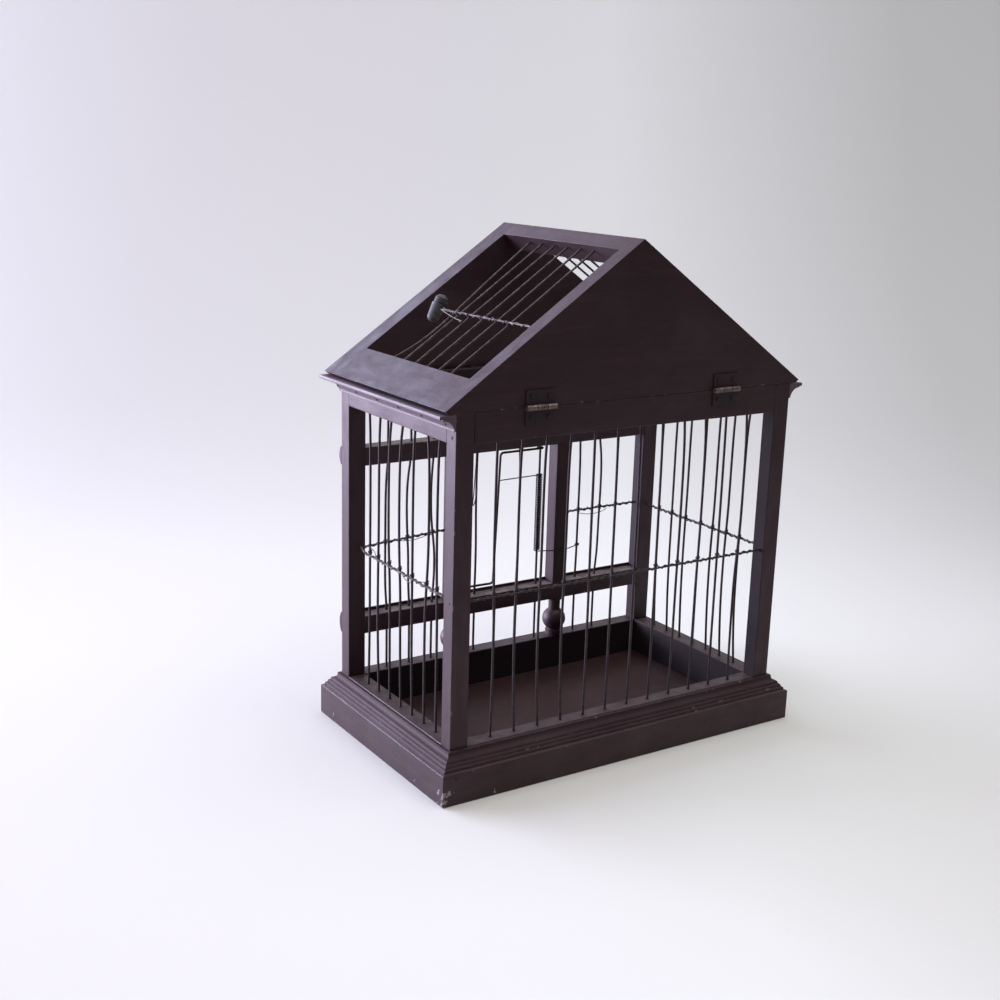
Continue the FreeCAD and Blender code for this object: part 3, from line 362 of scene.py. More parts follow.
def top_mask(tree):
    """One on faces that look up."""
    geometry = add(tree, "ShaderNodeNewGeometry")
    parts = add(tree, "ShaderNodeSeparateXYZ")
    tree.links.new(geometry.outputs["Normal"], parts.inputs["Vector"])
    return math_node(tree, "GREATER_THAN", parts.outputs["Z"], UPWARD)


def painted_wood(name, axis, seams=(), shaded_inside="", pale_top=0.0, chipped_corner=None,
                 gloss=PAINT_GLOSS, painted_light=0.0):
    """Espresso-brown paint, brushed along the board and rubbed through at the edges, with optional painted
    shade, painted light and paler tops.

    seams: (axis, places) pairs of dark lines across the piece
    shaded_inside: the axes that the piece's inner faces are square to, darkened there as painted shade
    pale_top: the share of a paler colour, in patches, on faces that look up
    chipped_corner: the plan point of an upright edge with chips near its foot
    gloss: the paint's index of refraction
    painted_light: the share of a pale layer all over, painted light
    """
    material, tree = new_material("painted_wood_" + name)
    along = coordinates(tree, GRAIN_ALONG[axis])
    plain = coordinates(tree, EVEN)
    grain = noise(tree, along, 420.0, 6.0, 0.6, 0.4)
    broad = noise(tree, along, 90.0, 3.0, 0.5, 0.3)
    mottle = noise(tree, coordinates(tree, MOTTLE_ALONG[axis]), 70.0, 6.0, 0.7, 0.3)
    paint = ramp(tree, broad, [(0.25, (0.0170, 0.0066, 0.0084)), (0.55, (0.0260, 0.0104, 0.0128)),
                               (0.8, (0.0370, 0.0166, 0.0190))])
    streaks = fade(tree, grain, (0.35, 0.5), (0.62, 0.0))
    paint = mix(tree, streaks, paint, (0.0100, 0.0058, 0.0066))
    blotches = fade(tree, noise(tree, plain, 16.0, 3.0, 0.55), (0.5, 0.0), (0.75, 0.5))
    paint = mix(tree, blotches, paint, (0.038, 0.026, 0.027))
    worn = fade(tree, noise(tree, plain, 140.0, 4.0, 0.65), (0.48, 0.0), (0.7, 0.8))
    paint = mix(tree, times(tree, edge_mask(tree, WORN_REACH, 5.0), worn), paint, (0.105, 0.078, 0.064))
    chips = fade(tree, noise(tree, plain, 150.0, 2.0, 0.5), (0.68, 0.0), (0.705, 1.0))
    paint = mix(tree, times(tree, edge_mask(tree, CHIP_REACH, 8.0), chips), paint, (0.15, 0.125, 0.11))
    specks = fade(tree, noise(tree, plain, 900.0, 2.0, 0.5), (0.66, 0.0), (0.74, 0.22))
    paint = mix(tree, specks, paint, (0.085, 0.076, 0.078))
    roughness = fade(tree, mottle, (0.32, 0.41), (0.68, 0.63))
    # Painted light: a pale layer over the paint, in patches, stands in for light bounced onto the piece.
    if painted_light:
        light_film = times(tree, fade(tree, mottle, (0.3, 0.5), (0.7, 1.0)), painted_light)
        paint = mix(tree, light_film, paint, (0.13, 0.115, 0.135))
    if chipped_corner:
        near = times(tree, corner_mask(tree, chipped_corner, CORNER_REACH), 0.26)
        broken = plus(tree, noise(tree, plain, 210.0, 3.0, 0.6), near)
        low = math_node(tree, "LESS_THAN", coordinate(tree, "z"), CHIPS_TOP)
        chipped = times(tree, low, fade(tree, broken, (0.70, 0.0), (0.73, 1.0)))
        paint = mix(tree, chipped, paint, (0.22, 0.20, 0.19))
        moulded = math_node(tree, "GREATER_THAN", coordinate(tree, "z"), MOULDING_FOOT)
        roughness = mix(tree, moulded, roughness, grey(0.72))
    # Painted shade: the faces that look into the cage are darkened almost to black, and made rougher.
    if shaded_inside:
        inside = inner_shade_mask(tree, shaded_inside)
        paint = mix(tree, times(tree, inside, 0.9), paint, (0.0035, 0.0026, 0.0028))
        roughness = mix(tree, inside, roughness, grey(0.8))
    # Faces that look up are made paler in patches.
    if pale_top:
        patches = fade(tree, noise(tree, plain, 110.0, 5.0, 0.65), (0.38, 0.25), (0.62, 1.0))
        paled = times(tree, times(tree, top_mask(tree), patches), pale_top)
        paint = mix(tree, paled, paint, (0.17, 0.145, 0.135))
    for seam_axis, places in seams:
        seam = line_mask(tree, coordinate(tree, seam_axis), places, SEAM_HALF)
        paint = mix(tree, seam, paint, SEAM_COLOUR)
    brushed = plus(tree, times(tree, grain, 0.8), times(tree, broad, 0.7))
    dents = fade(tree, noise(tree, plain, 55.0, 2.0, 0.5), (0.3, 0.0), (0.42, 1.0))
    height = plus(tree, brushed, times(tree, dents, 0.7))
    rounded = add(tree, "ShaderNodeBevel", samples=4)
    rounded.inputs["Radius"].default_value = EDGE_ROUNDING
    normal = bump(tree, height, 0.6, 0.22 * MM, rounded.outputs["Normal"])
    surface(tree, paint, roughness, normal, IOR=gloss, Specular_Tint=PAINT_TINT)
    return material


def turned_peg():
    """Grey worn wood, with painted shade as dark lines along the turned grooves under the head."""
    material, tree = new_material("turned_peg")
    plain = coordinates(tree, EVEN)
    patch = noise(tree, plain, 240.0, 4.0, 0.6)
    place = add(tree, "ShaderNodeTexCoord")
    apart = add(tree, "ShaderNodeVectorMath", operation="SUBTRACT")
    tree.links.new(place.outputs["Object"], apart.inputs[0])
    apart.inputs[1].default_value = tuple(PEG_CENTRE)
    height = add(tree, "ShaderNodeVectorMath", operation="DOT_PRODUCT")
    tree.links.new(apart.outputs["Vector"], height.inputs[0])
    height.inputs[1].default_value = tuple(PEG_AXIS)
    # Painted shade: dark lines at the heights of the turned grooves.
    grooves = line_mask(tree, height.outputs["Value"], PEG_GROOVES, GROOVE_HALF)
    colour = ramp(tree, patch, [(0.3, (0.022, 0.019, 0.021)), (0.55, (0.050, 0.043, 0.048)),
                                (0.75, (0.100, 0.089, 0.096))])
    colour = mix(tree, grooves, colour, (0.006, 0.005, 0.005))
    roughness = fade(tree, patch, (0.3, 0.68), (0.7, 0.5))
    normal = bump(tree, patch, 0.3, 0.2 * MM)
    surface(tree, colour, roughness, normal, IOR=1.5)
    return material


def floor_board():
    """The brown floor panel, scuffed and unevenly stained."""
    material, tree = new_material("floor_board")
    along = coordinates(tree, GRAIN_ALONG["x"])
    plain = coordinates(tree, EVEN)
    grain = noise(tree, along, 300.0, 5.0, 0.6, 0.5)
    stain = noise(tree, plain, 13.0, 4.0, 0.6)
    scuff = noise(tree, plain, 180.0, 3.0, 0.6)
    colour = ramp(tree, grain, [(0.25, (0.034, 0.015, 0.015)), (0.55, (0.043, 0.020, 0.020)),
                                (0.8, (0.052, 0.027, 0.026))])
    colour = mix(tree, fade(tree, stain, (0.42, 0.0), (0.7, 0.7)), colour, (0.024, 0.017, 0.016))
    colour = mix(tree, fade(tree, scuff, (0.62, 0.0), (0.75, 0.3)), colour, (0.11, 0.085, 0.075))
    roughness = fade(tree, stain, (0.3, 0.40), (0.7, 0.58))
    normal = bump(tree, grain, 0.15, 0.2 * MM)
    surface(tree, colour, roughness, normal, IOR=1.42, Specular_Tint=PAINT_TINT)
    return material


def wire_metal(name, dark, light, metallic, rough_low, rough_high):
    """Drawn wire: oxide and paint in patches over metal, with fine pits."""
    material, tree = new_material(name)
    plain = coordinates(tree, EVEN)
    patch = noise(tree, plain, 260.0, 4.0, 0.6)
    pits = noise(tree, plain, 1500.0, 3.0, 0.6)
    colour = ramp(tree, patch, [(0.35, dark), (0.7, light)])
    roughness = fade(tree, patch, (0.3, rough_high), (0.7, rough_low))
    normal = bump(tree, pits, 0.25, 0.12 * MM)
    surface(tree, colour, roughness, normal, Metallic=metallic, IOR=1.5, Specular_Tint=PAINT_TINT)
    return material


def worn_hinge():
    """A hinge painted over with the cage, its knuckles rubbed back to brass."""
    material, tree = new_material("worn_hinge")
    plain = coordinates(tree, EVEN)
    patch = noise(tree, plain, 170.0, 4.0, 0.6)
    fine = noise(tree, plain, 700.0, 4.0, 0.6)
    reach = add(tree, "ShaderNodeMapRange", clamp=True)
    limits = {"From Min": KNUCKLE_BARE, "From Max": KNUCKLE_PAINTED, "To Min": 1.0, "To Max": 0.0}
    for name, setting in limits.items():
        reach.inputs[name].default_value = setting
    tree.links.new(distance_to(tree, (0.0, 1.0, 1.0), tuple(HINGE_AXIS)), reach.inputs["Value"])
    rubbed = times(tree, reach.outputs["Result"], fade(tree, patch, (0.38, 0.15), (0.62, 1.0)))
    paint = ramp(tree, fine, [(0.3, (0.013, 0.0075, 0.008)), (0.7, (0.022, 0.0125, 0.013))])
    brass = ramp(tree, fine, [(0.3, (0.17, 0.128, 0.112)), (0.7, (0.36, 0.285, 0.255))])
    colour = mix(tree, rubbed, paint, brass)
    # Painted shade: dark lines between the knuckles.
    gaps = line_mask(tree, coordinate(tree, "x"), KNUCKLE_GAPS, GAP_HALF)
    colour = mix(tree, gaps, colour, (0.006, 0.004, 0.004))
    roughness = fade(tree, fine, (0.3, 0.42), (0.7, 0.56))
    normal = bump(tree, fine, 0.3, 0.15 * MM)
    shader = surface(tree, colour, roughness, normal, IOR=1.45, Specular_Tint=PAINT_TINT)
    tree.links.new(rubbed, shader.inputs["Metallic"])
    return material


WOOD = {axis: painted_wood(axis, axis) for axis in "xyz"}
PLINTH_WOOD = {axis: painted_wood("plinth_" + axis, axis, chipped_corner=NEAR_CORNER) for axis in "xy"}
# The posts and rails carry painted shade on the faces that look into the cage.
POST_WOOD = painted_wood("post", "z", shaded_inside="x")
RAIL_WOOD = {"x": painted_wood("rail_x", "x", [("x", (-POST_INNER_X, POST_INNER_X))], "y", RAIL_PALE_TOP),
             "y": painted_wood("rail_y", "y", [("y", (-POST_INNER_Y, POST_INNER_Y))], "x", RAIL_PALE_TOP)}
DOOR_WOOD = painted_wood("door_post", "z", gloss=DOOR_GLOSS)
MIDDLE_WOOD = painted_wood("middle_rail", "x", pale_top=MIDDLE_PALE_TOP)
# The cornices carry painted light as a pale layer over their paint.
CORNICE_WOOD = {axis: painted_wood("cornice_" + axis, axis, gloss=CORNICE_GLOSS, painted_light=CORNICE_PAINTED_LIGHT)
                for axis in "xy"}
EAVE_WOOD = painted_wood("eave", "y", seams=[("y", (ROOF_INNER_Y, 81.5 * MM))])
RAKE_WOOD = painted_wood("rake", "x", seams=[("y", (95.7 * MM,))])
PEG_WOOD = turned_peg()
FLOOR_BOARD = floor_board()
DARK_WIRE = wire_metal("dark_wire_metal", (0.010, 0.0075, 0.0078), (0.027, 0.0205, 0.021), 0.25, 0.42, 0.6)
ROOF_WIRE = wire_metal("roof_wire_metal", (0.020, 0.016, 0.015), (0.080, 0.065, 0.058), 0.35, 0.40, 0.6)
# The grey and cream wires are paler copies of the rod wire: partly their own bare metal, partly painted
# light on the rods that the window lights.
LIT_GREY_WIRE = wire_metal("lit_grey_wire_metal", (0.030, 0.027, 0.026), (0.135, 0.124, 0.119), 0.05, 0.62, 0.78)
LIT_CREAM_WIRE = wire_metal("lit_cream_wire_metal", (0.035, 0.031, 0.029), (0.25, 0.23, 0.208), 0.05, 0.6, 0.76)
DULL_WIRE = wire_metal("dull_wire_metal", (0.026, 0.023, 0.024), (0.075, 0.069, 0.068), 0.5, 0.38, 0.58)
SPRING_WIRE = wire_metal("spring_wire_metal", (0.012, 0.010, 0.0105), (0.040, 0.034, 0.034), 0.6, 0.3, 0.5)
NAIL = wire_metal("nail_metal", (0.006, 0.005, 0.005), (0.018, 0.013, 0.012), 0.2, 0.5, 0.7)
HINGE = worn_hinge()


def material_for(name):
    """The finish of a CAD node, with the grain along the piece's longest side."""
    if name == "floor_panel":
        return FLOOR_BOARD
    if name.startswith("hinge"):
        return HINGE
    # The roof and left rods take paler wires and the front, right and back rods the dull one: partly the
    # metal's own colour, partly painted light and shade.
    if name.startswith("roof_bind"):
        return LIT_CREAM_WIRE
    if name.startswith("roof_wires"):
        return ROOF_WIRE
    if name == "bind_wire_left":
        return LIT_GREY_WIRE
    if name.startswith("bind_wire"):
        return DULL_WIRE
    if name == "roof_toggle":
        return PEG_WOOD
    if name == "gable_back":
        return RAKE_WOOD
    if name.startswith("eave_board"):
        return EAVE_WOOD
    if name.startswith("door_post"):
        return DOOR_WOOD
    if name.startswith("post_"):
        return POST_WOOD
    if name.startswith("cornice"):
        return CORNICE_WOOD["x" if name.endswith("back") else "y"]
    if name.startswith("plinth"):
        return PLINTH_WOOD["y" if name.endswith(("left", "right")) else "x"]
    if name in ("back_lower_rail", "back_upper_rail"):
        return MIDDLE_WOOD
    if name.startswith(("top_rail", "bottom_rail")):
        return RAIL_WOOD["y" if name.endswith(("left", "right")) else "x"]
    if "wire" in name or name == "door_gate":
        return DARK_WIRE
    if name == "door_spring":
        return SPRING_WIRE
    if name.startswith("gable"):
        return WOOD["x"]
    low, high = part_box(name)
    size = high - low
    longest = max(range(3), key=lambda index: size[index])
    return WOOD["xyz"[longest]]


def dress_nodes():
    """Gives every CAD node its finish."""
    for name, node in nodes.items():
        node.data.materials.clear()
        node.data.materials.append(material_for(name))


# Pieces made here


def finish_piece(piece, material, body):
    """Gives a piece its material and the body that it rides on."""
    piece.data.materials.clear()
    piece.data.materials.append(material)
    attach(piece, body)
    return piece


def wire_curve(name, paths, radius, sides=3):
    """Round wires through lists of points, smooth, as one curve object."""
    data = bpy.data.curves.new(name, "CURVE")
    data.dimensions = "3D"
    data.bevel_depth = radius
    data.bevel_resolution = sides
    data.use_fill_caps = True
    data.resolution_u = 4
    for points in paths:
        spline = data.splines.new("NURBS")
        spline.points.add(len(points) - 1)
        for control, place in zip(spline.points, points):
            control.co = (*place, 1.0)
        spline.order_u = min(4, len(points))
        spline.use_endpoint_u = True
    piece = bpy.data.objects.new(name, data)
    scene.collection.objects.link(piece)
    return piece


# Each point of a turn round an upright: along the rod, inward and sideways, in millimetres
WRAP_SHAPE = [(-2.6, -1.15, 0.3), (-1.6, 0.4, 1.35), (-1.45, 2.4, 0.9), (0.0, 3.2, 0.0),
              (1.45, 2.4, -0.9), (1.6, 0.4, -1.35), (2.6, -1.15, -0.3)]


def winding_path(start, run, inward, up, length, crossings, seed, wire_radius, turn_length):
    """A thin wire wound along a rod and once round each upright that the rod crosses."""
    chance = random.Random(seed)
    points = []
    radius = BIND_RADIUS + wire_radius
    reach = 3.4 * MM
    end_gap = 0.6 * MM
    turn_steps = 6.0
    stops = sorted(crossings) + [length + reach]
    along = end_gap
    for stop in stops:
        angle = chance.uniform(0.0, math.tau)
        while along < min(stop - reach, length - end_gap):
            swell = radius * chance.uniform(0.98, 1.12)
            offset = inward * (swell * math.cos(angle)) + up * (swell * math.sin(angle))
            points.append(start + run * along + offset)
            along += turn_length / turn_steps * chance.uniform(0.7, 1.3)
            angle += math.tau / turn_steps
        if stop < length:
            flip = chance.choice((-1.0, 1.0))
            for ahead, inside, aside in WRAP_SHAPE:
                place = run * (stop + ahead * MM) + inward * (inside * MM) + up * (flip * aside * MM)
                points.append(start + place)
            along = stop + reach
    return points


def middle(lean):
    """A wire's sideways offset where it meets the cross wire."""
    return (lean[0] + lean[1]) / 2 * MM


def knot_path(centre, seed):
    """Two uneven turns of lashing wire round an upright, just above the cross wire."""
    chance = random.Random(seed)
    points = []
    steps = 8
    for number in range(2 * steps + 1):
        angle = math.tau * number / steps
        reach = (UPRIGHT_RADIUS + KNOT_RADIUS) * 1.12 * chance.uniform(0.97, 1.12)
        rise = (0.9 + 2.1 * number / (2 * steps)) * MM * chance.uniform(0.85, 1.15)
        points.append(centre + Vector((reach * math.cos(angle), reach * math.sin(angle), rise)))
    return points


def wall_windings():
    """The thin wires that lash each wall's rod to its uprights, and the rods that are bent or tilted."""
    runs = (X_RUN, Y_RUN)
    front_y = WALL_Y + BIND_OUT
    side_x = WALL_X + BIND_OUT
    front = [place + middle(lean) for place, lean in zip(FRONT_PLACES, FRONT_LEANS)]
    left = [place + middle(lean) for place, lean in zip(SIDE_PLACES, LEFT_LEANS)]
    right = [place + middle(lean) for place, lean in zip(SIDE_PLACES, RIGHT_LEANS)]
    back = [FRONT_PLACES[number] + middle(lean) for number, lean in BACK_LEANS.items()]
    back_left = [place for place in back if place < -DOOR_SIDE_X]
    back_right = [place for place in back if place > DOOR_SIDE_X]
    level = (0.0, 0.0)
    beside_door = POST_INNER_X - DOOR_SIDE_X
    # Each row: name, start in plan, axis of the run, inward, length, uprights, rise at its two ends
    rows = [
        ("front", (-POST_INNER_X, -front_y), 0, Y_RUN, 2 * POST_INNER_X, front, level),
        ("left", (-side_x, -POST_INNER_Y), 1, X_RUN, 2 * POST_INNER_Y - LEFT_BEND, left, level),
        ("right", (side_x, -POST_INNER_Y), 1, -X_RUN, 2 * POST_INNER_Y, right, level),
        ("back_left", (-POST_INNER_X, front_y), 0, -Y_RUN, beside_door, back_left, (-3.4, 1.4)),
        ("back_right", (DOOR_SIDE_X, front_y), 0, -Y_RUN, beside_door, back_right, (1.8, 2.0)),
    ]
    for seed, (name, corner, axis, inward, length, places, (rise, end_rise)) in enumerate(rows):
        material = material_for("bind_wire_" + name)
        crossings = [place - corner[axis] for place in places]
        start = Vector((*corner, BIND_HEIGHT + rise * MM))
        run = (runs[axis] * length + UP * ((end_rise - rise) * MM)).normalized()
        path = winding_path(start, run, inward, UP, length, crossings, seed, WINDING_RADIUS, WALL_TURN)
        piece = wire_curve("winding_" + name, [path], WINDING_RADIUS, 2)
        finish_piece(piece, material, "cage")
        knots = [knot_path(start + run * along + inward * BIND_OUT, 40 + seed) for along in crossings]
        piece = wire_curve("knots_" + name, knots, KNOT_RADIUS, 2)
        finish_piece(piece, DULL_WIRE, "cage")
        if rise:
            shares = (0.0, 0.25, 0.5, 0.75, 1.0)
            stations = [-ROD_SEAT, *(share * length for share in shares), length + ROD_SEAT]
            rod = [start + run * along for along in stations]
            piece = wire_curve("bind_wire_" + name + "_bent", [rod], BIND_RADIUS, 3)
            finish_piece(piece, material, "cage")
            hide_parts("bind_wire_" + name)
    bend = [(151.35, -77.9), (151.35, -60.0), (151.35, -30.0), (151.35, 0.0), (151.35, 30.0),
            (151.35, 52.0), (150.9, 59.0), (148.7, 67.0), (146.2, 75.5), (145.6, 77.9)]
    rod = [Vector((-x * MM, y * MM, BIND_HEIGHT)) for x, y in bend]
    piece = wire_curve("bind_wire_left_bent", [rod], BIND_RADIUS, 3)
    finish_piece(piece, LIT_GREY_WIRE, "cage")
    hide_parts("bind_wire_left")


# Bent wires

# Each station of an upright: height in millimetres, share of the lower lean, share of the upper one
WALL_STATIONS = [(29, 0.0, 0.0), (38, 0.0, 0.0), (58, 0.55, 0.0), (92, 1.0, 0.0),
                 (128, 1.0, 0.0), (149, 0.5, 0.5), (172, 0.0, 1.0), (205, 0.0, 1.05),
                 (238, 0.0, 0.95), (258, 0.0, 0.5), (266, 0.0, 0.0), (275, 0.0, 0.0)]
BACK_STATIONS = [(29, 0.0, 0.0), (88.5, 0.0, 0.0), (95, 0.4, 0.0), (112, 1.0, 0.0),
                 (134, 1.0, 0.0), (149, 0.5, 0.5), (168, 0.0, 1.0), (192, 0.0, 1.0),
                 (208, 0.0, 0.5), (216, 0.0, 0.0), (231, 0.0, 0.0), (275, 0.0, 0.0)]


def leaning_wire(foot, across, lean, stations):
    """Points up one wire, held straight in its seats and leaning between them."""
    points = []
    for height, low_share, high_share in stations:
        offset = (lean[0] * low_share + lean[1] * high_share) * MM
        points.append(Vector((foot[0], foot[1], height * MM)) + across * offset)
    return points


def back_stub(number, foot_height, rises):
    """Points up a short straight wire of the back wall."""
    foot = Vector((FRONT_PLACES[number], WALL_Y, foot_height))
    return [foot + Vector((0.0, 0.0, rise * MM)) for rise in rises]


def wall_wires():
    """The uprights of the four walls, a little bent as real wires are."""
    rows = {"front_wires": [], "left_wires": [], "right_wires": [], "back_wires": []}
    for place, lean in zip(FRONT_PLACES, FRONT_LEANS):
        rows["front_wires"].append(leaning_wire((place, -WALL_Y), X_RUN, lean, WALL_STATIONS))
    for place, lean in zip(SIDE_PLACES, LEFT_LEANS):
        rows["left_wires"].append(leaning_wire((-WALL_X, place), Y_RUN, lean, WALL_STATIONS))
    for place, lean in zip(SIDE_PLACES, RIGHT_LEANS):
        rows["right_wires"].append(leaning_wire((WALL_X, place), Y_RUN, lean, WALL_STATIONS))
    for number, lean in BACK_LEANS.items():
        rows["back_wires"].append(leaning_wire((FRONT_PLACES[number], WALL_Y), X_RUN, lean, BACK_STATIONS))
    for number in (3, 5, 8):
        rows["back_wires"].append(back_stub(number, 222.0 * MM, (0.0, 18.0, 35.0, 53.0)))
    rows["back_wires"].append(back_stub(5, 29.0 * MM, (0.0, 18.0, 36.0, 53.5)))
    for name, paths in rows.items():
        piece = wire_curve(name + "_bent", paths, UPRIGHT_RADIUS, 3)
        finish_piece(piece, DARK_WIRE, "cage")
        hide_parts(name)


def slope_point(sign, down_slope, under, y):
    """A point on a roof slope by its distance from the ridge and its depth under the outer face."""
    down = Vector((sign * math.cos(SLOPE_ANGLE), 0.0, -math.sin(SLOPE_ANGLE)))
    outward = Vector((sign * math.sin(SLOPE_ANGLE), 0.0, math.cos(SLOPE_ANGLE)))
    return RIDGE + down * (down_slope * MM) - outward * (under * MM) + Vector((0.0, y, 0.0))


# Each station of a roof wire: distance from the ridge, then its bow as a share or, if slack, in millimetres
ROOF_STATIONS = [(5.5, 0.0), (14.5, 0.0), (40.0, 0.45), (75.0, 0.9), (100.0, 1.0), (115.0, 0.8),
                 (140.0, 0.4), (168.2, 0.0), (177.2, 0.0)]
SLACK_STATIONS = [(5.5, 0.0), (14.5, 0.0), (40.0, -1.8), (75.0, -5.6), (107.0, -10.2),
                  (128.0, -12.0), (146.0, -10.4), (160.0, -4.6), (168.2, 0.0), (177.2, 0.0)]


def roof_wires():
    """The wires of the two slopes; the rearmost on the left hangs slack towards the front."""
    for side, sign, seed in (("left", -1.0, 31), ("right", 1.0, 32)):
        chance = random.Random(seed)
        paths = []
        for number, place in enumerate(ROOF_PLACES):
            bow = chance.uniform(-1.3, 1.3)
            stations = [(at, share * bow) for at, share in ROOF_STATIONS]
            if side == "left" and number == SLACK_PLACE:
                stations = SLACK_STATIONS
            points = [slope_point(sign, at, WIRE_UNDER, place + offset * MM) for at, offset in stations]
            paths.append(points)
        piece = wire_curve("roof_wires_" + side + "_bent", paths, ROOF_WIRE_RADIUS, 3)
        finish_piece(piece, ROOF_WIRE, "roof")
        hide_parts("roof_wires_" + side)


# Each rod: side, sign of x, distances from the ridge at its front and rear ends, y of the rear end
ROOF_RODS = [("left", -1.0, 105.2, 108.2, 53.0 * MM), ("right", 1.0, 107.5, 107.5, 81.5 * MM)]
LEFT_ROOF_ROD = [(-80.0, 105.1), (-74.5, 105.2), (-48.0, 105.4), (-18.0, 106.6), (14.0, 106.8),
                 (38.0, 107.6), (53.0, 108.0), (60.0, 107.6)]


def tangle(centre, along, outward, seed):
    """A wire that wanders round a point: along and outward are vectors in millimetres."""
    chance = random.Random(seed)
    sideways = along.cross(outward).normalized() * (1.2 * outward.length)
    points = []
    for _ in range(9):
        shift = along * chance.uniform(-1.0, 1.0) + outward * chance.uniform(-1.2, 0.9)
        shift += sideways * chance.uniform(-1.0, 1.0)
        points.append(centre + shift * MM)
    return points


def roof_windings():
    """The same lashing on the two slopes, where the rod lies on top of the wires."""
    for seed, (side, sign, front_down, end_down, end_y) in enumerate(ROOF_RODS):
        outward = Vector((sign * math.sin(SLOPE_ANGLE), 0.0, math.cos(SLOPE_ANGLE)))
        start = slope_point(sign, front_down, ROD_UNDER, ROOF_INNER_Y)
        end = slope_point(sign, end_down, ROD_UNDER, end_y)
        length = (end - start).length
        run = (end - start).normalized()
        aside = run.cross(outward)
        places = list(ROOF_PLACES)
        if side == "left":
            places[SLACK_PLACE] -= 9.5 * MM
        crossings = [place - ROOF_INNER_Y for place in places]
        path = winding_path(start, run, -outward, aside, length, crossings, 17 + seed,
                            ROOF_WINDING_RADIUS, ROOF_TURN)
        piece = wire_curve("winding_roof_" + side, [path], ROOF_WINDING_RADIUS, 2)
        finish_piece(piece, LIT_CREAM_WIRE, "roof")
        knots = []
        for number, along in enumerate(crossings):
            spread = 2.5 if number == THICK_KNOT else 1.7
            knots.append(tangle(start + run * along, run * (1.2 * spread), outward * spread, 70 + number))
        piece = wire_curve("knots_roof_" + side, knots, ROOF_KNOT_RADIUS, 2)
        finish_piece(piece, DARK_WIRE, "roof")
        if side == "left":
            rod = [slope_point(sign, at, ROD_UNDER, y * MM) for y, at in LEFT_ROOF_ROD]
            piece = wire_curve("roof_bind_wire_left_bent", [rod], ROOF_ROD_RADIUS, 3)
            finish_piece(piece, LIT_CREAM_WIRE, "roof")
            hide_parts("roof_bind_wire_left")


def loose_ends():
    """Ends of the lashing wire that stand away from the rods, and the tie wire beside the gate."""
    tail = [(54.0, 108.0, 3.0), (46.0, 109.6, 3.0), (36.0, 111.8, 3.6), (25.0, 113.4, 3.6),
            (15.0, 114.6, 3.4), (12.0, 115.6, 2.8), (12.6, 116.6, 2.6), (14.2, 115.8, 2.8),
            (13.4, 114.4, 3.2)]
    knot = [(50.0, 106.6, 2.0), (47.6, 108.6, 1.6), (45.4, 110.0, 2.6), (45.0, 108.0, 4.4),
            (47.6, 106.2, 4.2), (48.4, 107.6, 1.5), (43.6, 109.2, 1.8), (41.0, 107.4, 3.0)]
    paths = [[slope_point(-1.0, at, under, y * MM) for y, at, under in points] for points in (tail, knot)]
    piece = wire_curve("loose_end_roof", paths, LOOSE_ROOF_RADIUS, 2)
    finish_piece(piece, LIT_CREAM_WIRE, "roof")
    curl = [(57.0, 149.4), (57.6, 152.0), (55.6, 155.2), (50.0, 156.6), (44.0, 156.4),
            (39.6, 155.0), (37.6, 152.6), (38.0, 150.2)]
    loop = [(-33.6, 149.2), (-35.0, 151.6), (-37.4, 152.8), (-39.8, 151.8), (-40.4, 149.9), (-38.6, 148.4)]
    whisker = [(-6.0, 148.4), (-10.0, 146.0), (-15.0, 145.2), (-19.0, 146.4)]
    clear = 0.9 * MM
    left_x = -(WALL_X + BIND_OUT + clear)
    paths = [[Vector((left_x, y * MM, z * MM)) for y, z in points] for points in (curl, loop, whisker)]
    piece = wire_curve("loose_end_left", paths, LOOSE_RADIUS, 2)
    finish_piece(piece, LIT_GREY_WIRE, "cage")
    hair = [(78.0, 147.9), (86.0, 145.4), (97.0, 144.6), (106.0, 146.0), (110.0, 148.2)]
    back_y = WALL_Y + BIND_OUT + clear
    paths = [[Vector((sign * x * MM, back_y, z * MM)) for x, z in hair] for sign in (-1.0, 1.0)]
    piece = wire_curve("loose_end_back", paths, LOOSE_RADIUS, 2)
    finish_piece(piece, DULL_WIRE, "cage")
    hook = [(-34.2, 217.0), (-34.4, 208.0), (-34.9, 198.0), (-35.6, 186.0), (-36.4, 175.0), (-37.2, 170.0),
            (-36.4, 168.6), (-34.8, 172.0), (-33.2, 178.0), (-32.6, 184.0)]
    hook_y = 80.5 * MM
    path = [Vector((x * MM, hook_y, z * MM)) for x, z in hook]
    piece = wire_curve("gate_hook", [path], HOOK_RADIUS, 2)
    finish_piece(piece, DULL_WIRE, "cage")
    tangles = []
    for seed, (y, size) in enumerate(((30.0, 5.0), (4.0, 3.6), (-30.0, 4.4), (-38.0, 3.0))):
        chance = random.Random(60 + seed)
        centre = Vector((WALL_X + BIND_OUT + 0.4 * MM, y * MM, BIND_HEIGHT - 0.6 * MM))
        spread = Vector((0.5, size, 1.9)) * MM
        points = []
        for _ in range(12):
            shift = [chance.uniform(-1.0, 1.0) * part for part in spread]
            points.append(centre + Vector(shift))
        tangles.append(points)
    piece = wire_curve("loose_end_right", tangles, TANGLE_RADIUS, 2)
    finish_piece(piece, DULL_WIRE, "cage")


